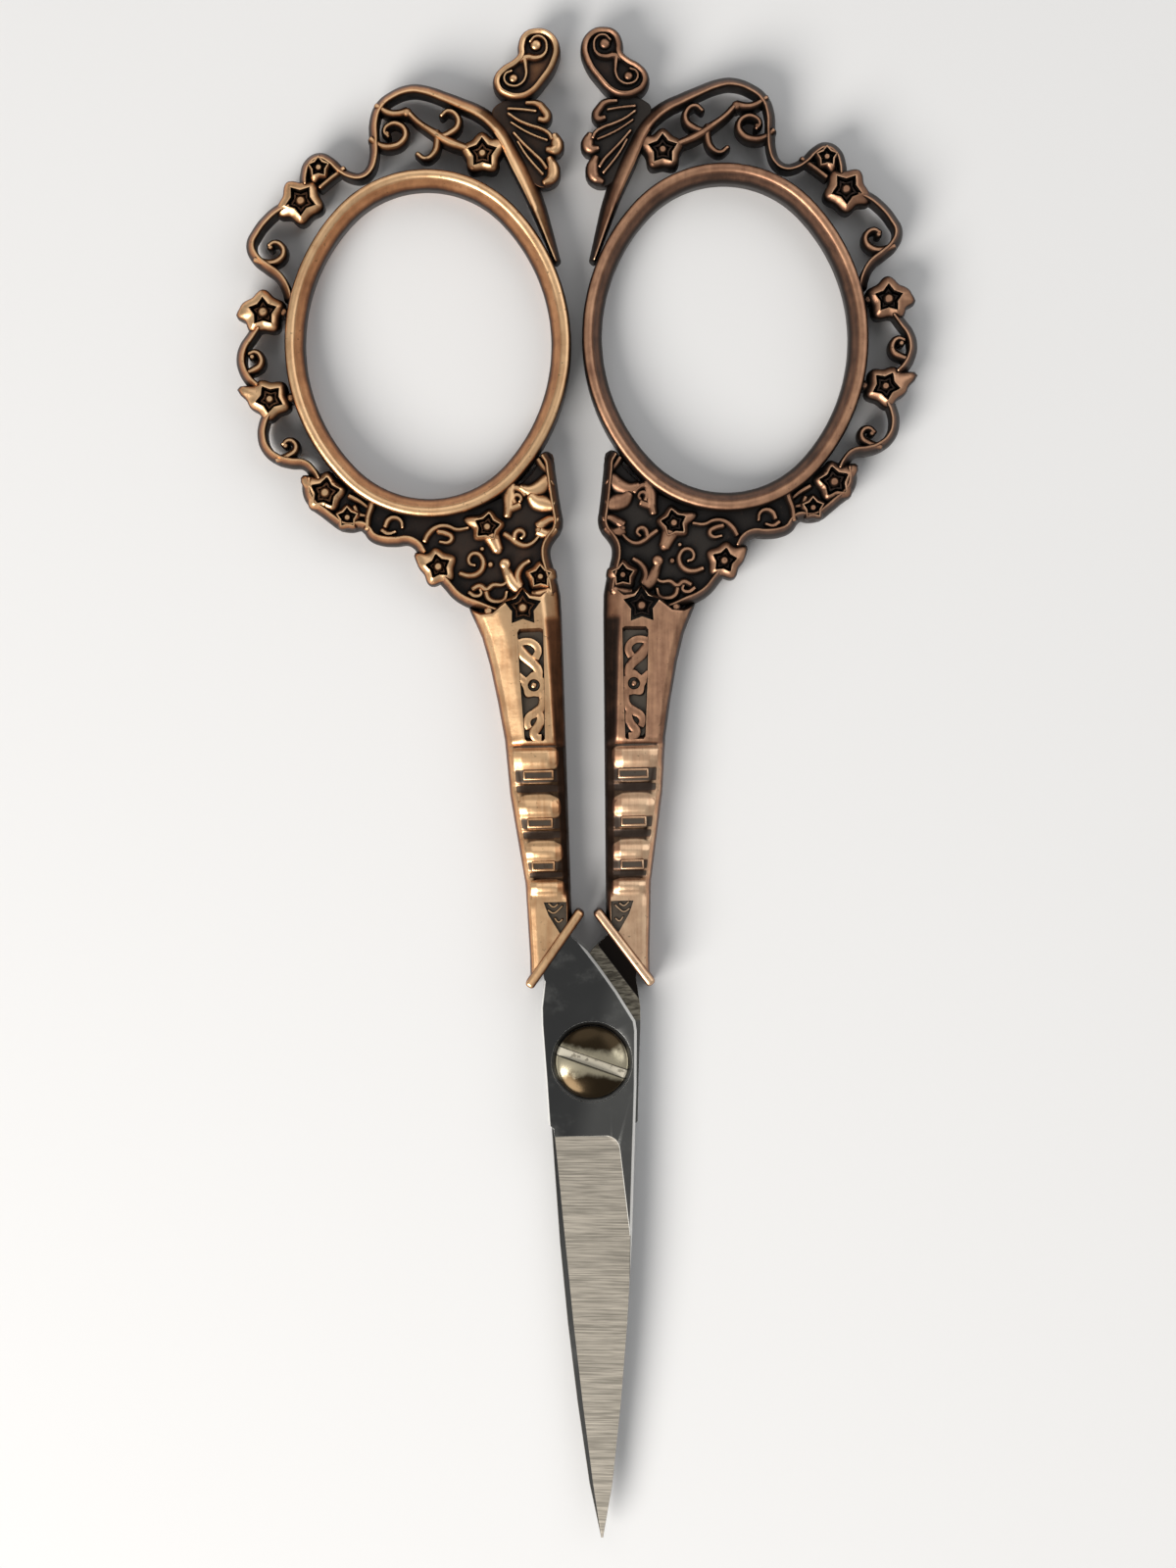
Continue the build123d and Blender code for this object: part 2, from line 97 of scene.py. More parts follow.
def combined(piece, other, operation):
    """Adds the other piece with UNION or takes it away with DIFFERENCE. The other piece is used up."""
    finished(piece, "BOOLEAN", operation=operation, solver="MANIFOLD", object=other)
    bpy.data.objects.remove(other)


def cleaned(piece, distance=0.0005):
    """Merges corners closer than the distance in millimetres, and turns every face outwards."""
    with editing(piece):
        bpy.ops.mesh.select_all(action="SELECT")
        bpy.ops.mesh.remove_doubles(threshold=distance * MM)
        bpy.ops.mesh.normals_make_consistent(inside=False)
    return piece


def nothing_selected(piece, kind):
    """Leaves nothing of the mesh selected, and sets whether faces or edges are picked."""
    with editing(piece):
        bpy.ops.mesh.select_mode(type=kind)
        bpy.ops.mesh.select_all(action="DESELECT")


def corners_of(piece):
    flat = np.empty(3 * len(piece.data.vertices))
    piece.data.vertices.foreach_get("co", flat)
    return flat.reshape(-1, 3)


def move_corners(piece, points):
    piece.data.vertices.foreach_set("co", np.asarray(points, float).ravel())
    piece.data.update()


def turned(points, angle):
    """Corners turned about the z axis."""
    x, y, z = points.T
    cosine, sine = math.cos(angle), math.sin(angle)
    return np.column_stack((x * cosine - y * sine, x * sine + y * cosine, z))


# Every part of the left casting, in the order in which the parts are made
casting_parts = []

# %% [markdown]
# ## Drawing with a profile
#
# Rails, scrolls and the finger bow are all bars that follow a line. A Bezier curve with automatic
# handles gives the smooth line. Its bevel object would scale a bar's height with its width, and the
# real rails thin out while they stay as high, so the section is set along the line in code instead:
# one ring of corners at each step, with the width and the height scaled on their own.

# %% Sections of the bars, as half outlines: across, and height above the middle plane
RAIL = ((-0.40, 0.60), (-0.41, 1.30), (-0.37, 1.66), (-0.28, 1.79), (-0.17, 1.78), (-0.07, 1.64),
        (0.10, 1.36), (0.28, 1.02), (0.40, 0.62), (0.42, 0.25))
THIN = ((-0.31, 0.50), (-0.27, 1.14), (-0.18, 1.38), (-0.08, 1.50), (0.08, 1.50), (0.18, 1.38),
        (0.27, 1.14), (0.31, 0.50))
BOW = ((-0.825, 0.55), (-0.80, 0.92), (-0.68, 1.18), (-0.42, 1.50), (-0.16, 1.88), (-0.02, 2.08),
       (0.10, 2.17), (0.34, 2.20), (0.56, 2.17), (0.68, 2.06), (0.77, 1.80), (0.82, 1.35), (0.825, 0.70))
KIDNEY = ((-0.34, 1.10), (-0.28, 1.62), (-0.14, 1.88), (0.04, 1.95), (0.20, 1.84), (0.34, 1.45),
          (0.40, 0.90), (0.41, 0.30))
SPIRAL = ((-0.19, 0.90), (-0.16, 1.56), (-0.05, 1.80), (0.06, 1.80), (0.16, 1.56), (0.19, 0.90))
# Rings of a bar's rounded end: how far beyond the end, and the share of the size left there
END_STEPS = ((0.07, 0.94), (0.15, 0.76), (0.19, 0.45))


def bezier(name, points, closed, steps, dimensions):
    """A curve with automatic handles through the points."""
    drawing = bpy.data.curves.new(name, "CURVE")
    drawing.dimensions = dimensions
    drawing.resolution_u = steps
    spline = drawing.splines.new("BEZIER")
    spline.bezier_points.add(len(points) - 1)
    for point, (x, y) in zip(spline.bezier_points, points):
        point.co = (x, y, 0)
        point.handle_left_type = "AUTO"
        point.handle_right_type = "AUTO"
    spline.use_cyclic_u = closed
    return linked(bpy.data.objects.new(name, drawing))


def smooth_line(points, closed, steps):
    """The same number of steps between each two points, along a Bezier curve, in the same millimetres."""
    holder = bezier("line", points, closed, steps, "3D")
    bpy.context.view_layer.update()
    shape = bpy.data.meshes.new_from_object(holder.evaluated_get(bpy.context.evaluated_depsgraph_get()))
    line = np.array([corner.co.xy[:] for corner in shape.vertices])
    bpy.data.meshes.remove(shape)
    bpy.data.objects.remove(holder)
    return line


def new_piece(name, points, faces):
    """A mesh from corners in millimetres from the screw and the middle plane."""
    shape = bpy.data.meshes.new(name)
    shape.from_pydata((np.asarray(points) + (0, SCREW_Y, MIDDLE)) * MM, [], faces)
    return linked(bpy.data.objects.new(name, shape))


def bar(name, points, half, widths=(1.0,), heights=(1.0,), closed=False, steps=6):
    """A bar along a smooth line through the points. The section's positive side is on its right."""
    line = smooth_line(points, closed, steps)
    ahead = np.roll(line, -1, 0) - np.roll(line, 1, 0)
    if not closed:
        ahead[0], ahead[-1] = line[1] - line[0], line[-1] - line[-2]
    ahead /= np.linalg.norm(ahead, axis=1)[:, None]
    gone = np.concatenate(([0], np.cumsum(np.linalg.norm(np.diff(line, axis=0), axis=1))))
    share = gone / gone[-1]
    wide = np.interp(share, np.linspace(0, 1, len(widths)), widths)
    tall = np.interp(share, np.linspace(0, 1, len(heights)), heights)
    if not closed:
        # Rounded ends: a few shrinking rings beyond each end
        before = [(line[0] - ahead[0] * reach, size) for reach, size in END_STEPS]
        after = [(line[-1] + ahead[-1] * reach, size) for reach, size in END_STEPS]
        line = np.vstack([spot for spot, _ in reversed(before)] + [line] + [spot for spot, _ in after])
        ahead = np.vstack([ahead[:1]] * len(before) + [ahead] + [ahead[-1:]] * len(after))
        first = np.array([size for _, size in reversed(before)])
        last = np.array([size for _, size in after])
        wide = np.concatenate((first * wide[0], wide, last * wide[-1]))
        # The ends lose their height half as fast as their width
        tall = np.concatenate((tall[0] * (0.5 + 0.5 * first), tall, tall[-1] * (0.5 + 0.5 * last)))
    outline = np.array(list(half) + [(across, -height) for across, height in reversed(half)])
    right = np.column_stack((ahead[:, 1], -ahead[:, 0]))
    corners = np.empty((len(line), len(outline), 3))
    corners[:, :, :2] = line[:, None] + right[:, None] * (outline[None, :, :1] * wide[:, None, None])
    corners[:, :, 2] = outline[None, :, 1] * tall[:, None]
    count, sides = len(line), len(outline)
    faces = []
    for ring in range(count if closed else count - 1):
        after_ring = (ring + 1) % count
        for side in range(sides):
            next_side = (side + 1) % sides
            faces.append((ring * sides + side, ring * sides + next_side, after_ring * sides + next_side,
                          after_ring * sides + side))
    if not closed:
        faces.append(tuple(range(sides)))
        faces.append(tuple(range((count - 1) * sides, count * sides)))
    piece = cleaned(new_piece(name, corners.reshape(-1, 3), faces))
    casting_parts.append(piece)
    return piece


# %% [markdown]
# ## Finger bow
#
# The bow is an oval of four arcs. Its tube has a bright flat land near the outside and a long slope
# down to the finger opening. A torus could not give that section, so it is the first profiled bar.

# %% The oval and its tube
BOW_X = -12.275
BOW_Y = 59.508
TUBE_HALF_WIDTH = 11.0
TUBE_HALF_HEIGHT = 13.575
END_RADIUS = 9.3
OVAL_POINTS = 48


def bow_line(count):
    """Points of the oval, counterclockwise, so that its outside is on the right."""
    end_offset = TUBE_HALF_HEIGHT - END_RADIUS
    side_radius = ((end_offset ** 2 + TUBE_HALF_WIDTH ** 2 - END_RADIUS ** 2)
                   / (2 * (TUBE_HALF_WIDTH - END_RADIUS)))
    side_offset = side_radius - TUBE_HALF_WIDTH
    switch = math.atan2(end_offset, side_offset)
    outline = []
    for step in range(count):
        turn = 2 * math.pi * (step + 0.5) / count
        across, up = abs(math.cos(turn)), abs(math.sin(turn))
        folded = math.atan2(up, across)
        if folded < switch:
            x, y = side_radius * math.cos(folded) - side_offset, side_radius * math.sin(folded)
        else:
            x, y = END_RADIUS * math.cos(folded), end_offset + END_RADIUS * math.sin(folded)
        outline.append((BOW_X + math.copysign(x, math.cos(turn)),
                        BOW_Y + math.copysign(y, math.sin(turn))))
    return outline


bow = bar("bow", bow_line(OVAL_POINTS), BOW, closed=True, steps=4)
print("Finger bow:", len(bow.data.polygons), "faces")

# %% [markdown]
# ## Border rails, arch and stem
#
# The lace border is a chain of rails between blossoms. A rail is steep on its inner side, has a thin
# bright crest, and slopes away outwards. Each is drawn so that its outside is on its right.

# %% Rails round the outside of the casting
RAILS = (
    ((-1.45, 66.2), (-1.85, 67.4), (-2.3, 68.8), (-3.05, 71.0), (-4.0, 73.3), (-4.9, 75.2), (-5.75, 76.8),
     (-6.7, 77.9), (-7.8, 78.7), (-9.0, 79.25), (-10.4, 79.85), (-12.2, 80.5), (-13.3, 80.6),
     (-14.8, 80.1), (-15.9, 79.2), (-16.35, 78.0), (-16.4, 76.4), (-16.45, 75.0), (-16.85, 73.95),
     (-17.5, 73.5), (-18.3, 73.55), (-19.2, 74.05), (-20.0, 74.8), (-20.9, 75.2), (-21.85, 74.7),
     (-22.25, 73.6), (-22.3, 72.9)),
    ((-23.6, 71.3), (-24.4, 70.95), (-25.4, 70.15), (-26.25, 69.1), (-26.75, 68.0), (-26.35, 66.9),
     (-25.45, 66.1), (-24.5, 65.35), (-23.9, 64.3), (-23.7, 63.5)),
    ((-26.4, 61.2), (-26.95, 60.4), (-27.5, 59.6), (-27.75, 58.6), (-27.6, 57.7), (-27.1, 56.8),
     (-26.6, 56.3)),
    ((-25.6, 54.2), (-26.0, 53.3), (-26.15, 52.2), (-25.8, 51.1), (-24.9, 50.3), (-23.8, 49.95),
     (-22.7, 49.8), (-22.0, 49.1), (-21.7, 48.5)),
    ((-22.5, 48.6), (-22.5, 47.4), (-22.0, 46.5), (-21.2, 45.85), (-20.4, 45.2), (-19.7, 44.7),
     (-18.9, 44.55), (-18.1, 44.65), (-17.6, 44.3), (-17.2, 43.75), (-16.4, 43.4), (-15.3, 43.3),
     (-14.2, 43.35), (-13.5, 42.95), (-13.1, 42.3)),
    ((-11.6, 40.2), (-11.0, 39.5), (-10.4, 38.8), (-9.6, 38.25), (-8.6, 37.85), (-7.8, 37.5),
     (-7.0, 37.2)),
    ((-2.3, 38.9), (-2.45, 39.8), (-2.75, 40.9), (-2.95, 41.9), (-2.85, 42.7), (-2.5, 43.3),
     (-2.05, 43.9), (-1.85, 44.6), (-1.95, 45.4), (-2.1, 46.4), (-2.25, 47.6), (-2.4, 48.8), (-2.5, 49.6),
     (-2.85, 50.2)),
)
# Widths of the first rail, which grows out of the bow as a stout arch
ARCH_WIDTHS = (0.7, 1.1, 1.5, 1.75, 1.95, 1.7, 1.5, 1.4, 1.25, 1.15, 1.05, 1.0, 1.0, 0.95,
               0.9, 0.9, 0.9, 0.85)
for number, points in enumerate(RAILS):
    bar(f"rail_{number}", points, RAIL, ARCH_WIDTHS if number == 0 else (1.0,))
bar("branch", ((-18.9, 74.1), (-19.9, 73.4), (-20.9, 72.6)), THIN)
bar("leaf", ((-16.1, 79.2), (-15.0, 78.6), (-14.3, 78.55), (-13.6, 78.7)), THIN,
    (1.0, 1.3, 1.2, 1.4), (1.12,))
bar("twig", ((-13.4, 78.5), (-12.7, 77.8), (-11.5, 76.95), (-10.4, 76.25), (-8.6, 75.5)), THIN,
    (1.1, 1.1, 1.4, 1.5, 1.2), (1.18,))
bar("connector", ((-17.0, 47.0), (-17.2, 46.2), (-17.5, 45.3), (-17.6, 44.3)), THIN,
    (1.6, 1.2, 1.2), (1.2,))
print("Rails and twigs:", len(casting_parts) - 1)

# %% [markdown]
# ## Scrolls and curls
#
# Inside the cells sit thin scrolls that roll up at their ends. They use a narrow rounded section,
# which thins out towards the curl.

# %% Thin scrolls
SCROLL_WIDTHS = (1.15, 1.25, 1.15, 1.0, 0.85)
SCROLL_HEIGHTS = (1.1, 1.06, 1.03, 1.0)
SCROLLS = (
    ((-16.6, 76.5), (-15.9, 75.98), (-14.9, 75.85), (-14.0, 76.3), (-13.75, 77.05), (-14.3, 77.7),
     (-15.1, 77.65), (-15.5, 77.1), (-15.2, 76.7)),
    ((-10.9, 76.5), (-10.0, 76.9), (-9.4, 77.5), (-9.5, 78.3), (-10.2, 78.7), (-10.75, 78.3)),
    ((-11.2, 77.0), (-11.15, 76.0), (-11.5, 75.15), (-12.2, 74.8), (-12.8, 75.2)),
    ((-26.35, 66.75), (-25.3, 66.45), (-24.4, 66.7), (-24.0, 67.3), (-24.2, 67.9), (-24.75, 68.15),
     (-25.2, 67.9)),
    ((-27.3, 57.4), (-26.7, 57.65), (-26.1, 58.1), (-26.1, 58.75), (-26.55, 59.15), (-27.05, 59.0)),
    ((-24.9, 50.2), (-23.9, 50.55), (-23.35, 51.05), (-23.45, 51.6), (-23.95, 51.8), (-24.4, 51.45)),
    ((-19.0, 47.1), (-18.1, 46.6), (-17.5, 46.1)),
    ((-18.6, 46.2), (-18.3, 45.6), (-17.6, 45.4)),
    ((-16.1, 44.5), (-15.85, 45.05), (-15.3, 45.25), (-14.8, 44.95), (-14.7, 44.4)),
    ((-16.4, 44.2), (-15.9, 43.9), (-15.3, 44.05)),
    ((-12.9, 43.2), (-12.5, 43.9), (-11.8, 44.4), (-11.0, 44.45), (-10.2, 44.15), (-9.3, 44.25)),
    ((-11.75, 44.0), (-11.1, 43.85), (-10.65, 43.5), (-10.9, 43.1), (-11.6, 43.15)),
    ((-10.0, 40.5), (-9.3, 40.3), (-8.5, 40.5), (-8.1, 41.1), (-8.2, 41.8), (-8.7, 42.15), (-9.2, 41.9),
     (-9.2, 41.3), (-8.8, 41.15)),
    ((-9.0, 39.2), (-8.4, 39.45), (-7.9, 39.15), (-7.3, 39.5), (-6.5, 39.5), (-6.1, 39.8)),
    ((-9.3, 38.9), (-8.8, 38.6), (-8.3, 38.8), (-8.4, 39.15)),
    ((-7.9, 38.9), (-7.7, 38.35), (-7.0, 38.1), (-6.4, 38.3), (-6.2, 38.9)),
    ((-5.4, 46.25), (-5.5, 46.7), (-5.15, 46.9), (-4.85, 46.6), (-5.0, 46.3)),
    ((-6.3, 43.7), (-5.7, 43.3), (-5.2, 42.9), (-4.6, 42.7), (-4.0, 42.9), (-3.4, 43.5)),
    ((-5.5, 43.3), (-5.35, 43.8), (-4.95, 43.95), (-4.65, 43.6), (-4.9, 43.3)),
    ((-3.4, 49.8), (-3.0, 49.2), (-2.5, 48.6)),
)
for number, points in enumerate(SCROLLS):
    bar(f"scroll_{number}", points, THIN, SCROLL_WIDTHS, SCROLL_HEIGHTS, steps=4)

# Broad ridges of the relief between the shank and the bow: points, widths, and a factor for the height
BANKS = (
    (((-5.7, 47.8), (-5.85, 46.9), (-5.9, 46.0), (-6.05, 45.1)), (1.7, 1.9, 1.5, 1.2), 1.14),
    (((-5.9, 45.75), (-5.4, 45.9), (-5.0, 46.05)), (1.3, 1.2), 1.08),
    (((-5.9, 47.3), (-5.3, 47.5), (-4.8, 47.25), (-4.5, 46.9)), (1.3, 1.0), 1.08),
    (((-4.9, 47.5), (-4.2, 47.2), (-3.4, 47.4), (-2.5, 48.1)), (1.2, 1.9, 2.2, 2.2), 1.1),
    (((-4.1, 46.8), (-3.6, 46.3), (-2.9, 46.1), (-2.2, 45.9)), (1.4, 2.2, 2.4, 1.8), 1.15),
    (((-3.5, 44.2), (-2.9, 44.6), (-2.3, 44.85), (-1.9, 44.7)), (1.5, 1.2), 1.12),
    (((-3.5, 43.9), (-3.0, 43.65), (-2.5, 43.7), (-2.1, 44.0)), (1.7, 1.2), 1.12),
    (((-6.3, 40.9), (-6.0, 40.2), (-5.7, 39.6), (-5.2, 39.1)), (1.2, 1.7, 1.9), 1.15),
    (((-7.4, 43.6), (-7.1, 42.9), (-6.85, 42.3)), (2.4, 1.9, 1.6), 1.18),
    (((-4.3, 41.4), (-4.9, 41.0), (-5.3, 40.2), (-5.1, 39.4)), (0.9, 1.1, 1.3), 1.1),
    (((-2.6, 38.9), (-3.0, 38.7), (-3.6, 38.6), (-4.1, 38.6)), (1.6, 1.8, 1.4), 1.2),
)
# All of them are a little broader than their widths say
BANK_SPREAD = 1.2
for number, (points, widths, height) in enumerate(BANKS):
    bar(f"bank_{number}", points, THIN, [BANK_SPREAD * width for width in widths], (height,), steps=4)
print("Scrolls:", len(SCROLLS))

# %% [markdown]
# ## Blossoms and beads
#
# A blossom is a disc with five petals, a star-shaped recess and a round bead in the middle. It is a
# UV sphere whose rings are moved by formula: the rings near each pole make the bead, the next ones
# the star, and the outer ones the petals. That keeps it closed, with both faces alike.

# %% A disc shaped ring by ring
PETALS = 5
BLOSSOM_SEGMENTS = 50
BEAD_SEGMENTS = 20


def star_reach(turn, tip, waist):
    """Distance from the middle to a five-pointed star's straight side, in the direction turn."""
    sector = math.pi / PETALS
    folded = np.abs((turn + sector) % (2 * sector) - sector)
    return tip * waist * math.sin(sector) / (
        waist * math.sin(sector) * np.cos(folded) + np.sin(folded) * (tip - waist * math.cos(sector)))


def shaped_disc(name, x, y, rings, segments):
    """A UV sphere with its rings moved. rings lists reach and height, from the middle out."""
    count = 2 * len(rings) + 1
    bpy.ops.mesh.primitive_uv_sphere_add(segments=segments, ring_count=count, radius=1)
    disc = bpy.context.active_object
    disc.name = name
    points = corners_of(disc)
    turn = np.arctan2(points[:, 1], points[:, 0])
    level = np.rint(np.arccos(np.clip(points[:, 2], -1, 1)) / math.pi * count).astype(int)
    from_pole = np.minimum(level, count - level) - 1
    side = np.where(points[:, 2] > 0, 1.0, -1.0)
    pole = from_pole < 0
    reach = np.zeros(len(points))
    height = np.full(len(points), rings[0][1])
    for number, (ring_reach, ring_height) in enumerate(rings):
        here = from_pole == number
        reach[here] = ring_reach(turn[here]) if callable(ring_reach) else ring_reach
        height[here] = ring_height
    reach[pole] = 0
    centre = place(x, y)
    points[:, 0] = centre.x + reach * np.cos(turn) * MM
    points[:, 1] = centre.y + reach * np.sin(turn) * MM
    points[:, 2] = centre.z + side * height * MM
    move_corners(disc, points)
    casting_parts.append(cleaned(disc))


def bead(name, x, y, radius, top):
    rings = [(0.45 * radius, top - 0.04), (0.8 * radius, top - 0.16), (0.97 * radius, top - 0.36),
             (radius, top - 0.6)]
    shaped_disc(name, x, y, rings, BEAD_SEGMENTS)


# %% Blossoms and beads
CREST = 1.85
STAR_FLOOR = 1.12
TIP_SPREAD = 0.28
# Place, petal reach, star reach, bead radius, turn, and one pointed petal's direction and reach
BLOSSOMS = (
    (-7.44, 75.10, 1.85, 1.20, 0.42, 90, 30, 2.5),
    (-20.96, 74.20, 1.15, 0.72, 0.36, 90, 250, 1.5),
    (-22.50, 71.50, 2.00, 1.25, 0.50, 54, 210, 2.3),
    (-25.80, 62.40, 1.95, 1.15, 0.52, 90, 185, 2.3),
    (-25.40, 55.20, 1.85, 1.15, 0.42, 120, 160, 2.9),
    (-21.00, 47.40, 1.85, 1.25, 0.50, 80, 145, 2.45),
    (-19.20, 45.30, 1.20, 0.74, 0.36, 90, 0, 1.2),
    (-11.80, 41.10, 1.70, 1.02, 0.45, 100, 150, 2.3),
    (-7.70, 44.30, 1.55, 1.05, 0.42, 80, 160, 2.2),
    (-3.40, 40.10, 1.40, 0.82, 0.36, 90, 0, 1.4),
)


def blossom(name, x, y, petal, star, bead_radius, turn, tip_turn, tip_reach):
    start = math.radians(turn)
    tip = math.radians(tip_turn)

    def star_line(share, extra=0.0):
        return lambda angle: share * star_reach(angle - start, star, 0.6 * star) + extra

    def petal_line(share):
        def reach(angle):
            lobes = petal * (0.90 + 0.10 * np.cos(PETALS * (angle - start)))
            away = np.abs((angle - tip + math.pi) % (2 * math.pi) - math.pi)
            point = np.maximum(lobes, lobes + (tip_reach - lobes) * np.exp(-(away / TIP_SPREAD) ** 2))
            return share * point
        return reach

    def rim_line(share):
        return lambda angle: (1 - share) * (star_line(1.0, 0.24)(angle)) + share * petal_line(1.0)(angle)

    # Bead, star recess with a low star in it, the star's rim, and the petals down to their side
    rings = [
        (0.5 * bead_radius, CREST - 0.06), (0.85 * bead_radius, CREST - 0.22),
        (bead_radius, STAR_FLOOR + 0.2), (1.14 * bead_radius, STAR_FLOOR),
        (star_line(0.55), STAR_FLOOR + 0.2), (star_line(0.74), STAR_FLOOR + 0.2),
        (star_line(0.9), STAR_FLOOR - 0.04), (star_line(1.0, 0.02), CREST - 0.14),
        (star_line(1.0, 0.09), CREST), (star_line(1.0, 0.2), CREST - 0.01),
        (rim_line(0.35), CREST - 0.2), (rim_line(0.7), CREST - 0.36), (rim_line(0.9), CREST - 0.6),
        (petal_line(0.99), CREST - 0.95), (petal_line(1.0), 0.4),
    ]
    shaped_disc(name, x, y, rings, BLOSSOM_SEGMENTS)


for number, numbers in enumerate(BLOSSOMS):
    blossom(f"blossom_{number}", *numbers)

# Beads: place, radius and the top's height
BEADS = (
    (-6.3, 41.2, 0.52, 1.8), (-6.85, 42.35, 0.4, 1.8), (-5.25, 40.7, 0.26, 1.4),
    (-8.15, 42.5, 0.26, 1.5), (-7.5, 41.2, 0.34, 1.4), (-13.6, 78.6, 0.42, 1.75), (-15.3, 76.9, 0.32, 1.5),
    (-25.1, 67.75, 0.3, 1.5), (-26.8, 58.75, 0.3, 1.5), (-24.2, 51.35, 0.3, 1.5),
    (-7.7, 37.35, 0.42, 1.85), (-24.1, 62.4, 0.42, 1.5), (-23.65, 55.3, 0.4, 1.6),
    (-4.75, 81.2, 0.45, 1.75), (-2.85, 83.95, 0.55, 1.7), (-3.5, 43.95, 0.3, 1.8),
)
for number, numbers in enumerate(BEADS):
    bead(f"bead_{number}", *numbers)
print("Blossoms and beads:", len(BLOSSOMS) + len(BEADS))

# %% [markdown]
# ## Floor plates, shell and finial
#
# Between the shank and the bow the relief stands on a thin floor, and so do the shell and the
# kidney-shaped finial. A filled flat curve with some extrusion gives such a plate.

# %% Flat plates
PLATE_BEVEL = 0.1


def plate(name, points, half_height):
    piece = bezier(name, [place(x, y).xy for x, y in points], True, 5, "2D")
    drawing = piece.data
    drawing.fill_mode = "BOTH"
    drawing.extrude = (half_height - PLATE_BEVEL) * MM
    drawing.bevel_depth = PLATE_BEVEL * MM
    drawing.bevel_resolution = 2
    drawing.offset = -PLATE_BEVEL * MM
    only(piece)
    bpy.ops.object.convert(target="MESH")
    move_corners(piece, corners_of(piece) + (0, 0, MIDDLE * MM))
    casting_parts.append(cleaned(piece, 0.002))


plate("floor", (
    (-22.2, 48.8), (-22.3, 47.5), (-21.3, 46.0), (-19.6, 44.8), (-17.9, 44.4), (-17.1, 43.5),
    (-15.2, 43.1), (-13.2, 42.7), (-12.6, 41.0), (-11.2, 39.6), (-9.9, 38.3), (-8.6, 37.6), (-8.4, 35.6),
    (-2.3, 35.6), (-2.1, 38.2), (-2.5, 40.6), (-3.0, 42.1), (-2.1, 43.3), (-1.8, 44.4), (-2.2, 46.4),
    (-2.2, 48.4), (-2.5, 50.4), (-4.0, 48.6), (-7.0, 46.5), (-12.3, 45.3), (-17.0, 46.6)), 1.0)
plate("shell", (
    (-6.6, 78.5), (-5.9, 79.3), (-4.9, 79.6), (-3.9, 79.6), (-2.6, 79.0), (-1.8, 78.1), (-2.3, 77.3),
    (-1.3, 76.4), (-1.1, 75.4), (-1.7, 74.7), (-1.2, 73.6), (-1.45, 72.6), (-2.4, 72.2), (-3.3, 72.6),
    (-3.9, 74.0), (-4.9, 76.0), (-5.8, 77.4)), 1.1)

# Shell ribs: points, widths, and a factor for the height. The stout ones are the lobes' rolled ends.
SHELL_RIBS = (
    (((-5.2, 78.75), (-4.0, 78.65), (-3.0, 78.5)), (0.8, 0.7), 1.0),
    (((-3.7, 79.2), (-2.8, 79.1), (-2.3, 78.6), (-2.05, 78.1), (-2.2, 77.8), (-2.7, 77.85)),
     (0.9, 1.3, 1.5, 1.2), 1.08),
    (((-5.2, 78.3), (-4.4, 77.75), (-3.5, 77.35), (-2.5, 77.0), (-1.9, 76.6), (-1.7, 76.2)),
     (0.7, 0.8, 0.9), 1.1),
    (((-1.5, 76.5), (-1.3, 75.9), (-1.4, 75.35), (-2.1, 75.3)), (1.2, 2.0, 2.0, 1.2), 1.14),
    (((-5.0, 77.6), (-4.0, 76.95), (-3.0, 76.45), (-2.1, 76.1)), (0.6, 0.7), 0.95),
    (((-4.8, 76.7), (-4.0, 75.8), (-3.2, 75.0), (-2.6, 74.4), (-2.2, 73.8)), (0.7, 0.8, 0.9), 1.1),
    (((-1.95, 74.6), (-1.65, 73.8), (-1.75, 73.0), (-2.4, 72.55)), (1.3, 2.0, 2.0, 1.2), 1.14),
    (((-4.5, 76.0), (-3.9, 75.0), (-3.2, 74.1), (-2.5, 73.3)), (0.6, 0.8), 1.0),
)
for number, (points, widths, height) in enumerate(SHELL_RIBS):
    bar(f"shell_rib_{number}", points, THIN, widths, (height,), steps=4)

KIDNEY_LINE = (
    (-3.5, 80.0), (-2.4, 81.1), (-1.45, 82.6), (-1.25, 83.8), (-1.85, 84.75), (-2.8, 84.98), (-3.6, 84.7),
    (-3.95, 83.9), (-4.0, 83.1), (-4.6, 82.45), (-5.5, 81.9), (-6.05, 81.15), (-5.9, 80.4), (-5.3, 79.95),
    (-4.45, 79.75))
bar("finial_rim", KIDNEY_LINE, KIDNEY, closed=True, steps=5)
plate("finial_floor", KIDNEY_LINE, 1.25)
HIGH_SCROLL = ((-4.2, 82.7), (-3.6, 82.95), (-2.9, 82.85), (-2.2, 83.1), (-1.95, 83.8), (-2.2, 84.45),
               (-2.85, 84.6), (-3.3, 84.2))
LOW_SCROLL = ((-3.8, 82.9), (-3.7, 82.1), (-3.7, 81.4), (-4.1, 80.75), (-4.8, 80.55), (-5.45, 80.95),
              (-5.4, 81.55), (-4.9, 81.8))
bar("finial_scroll_high", HIGH_SCROLL, SPIRAL, (1.9, 2.1, 1.8, 1.2, 1.0, 1.0, 0.9), steps=5)
bar("finial_scroll_low", LOW_SCROLL, SPIRAL, (1.9, 1.4, 1.1, 1.0, 1.0, 1.0, 0.9), steps=5)
print("Parts so far:", len(casting_parts))

# %% [markdown]
# ## Shank
#
# The shank is a flared flat, then four turned beads with grooves between them, then a neck that ends
# at a slanting collar. All of it can be read as one height over the middle plane, so a grid is shaped
# by a height formula, then mirrored to the other face.

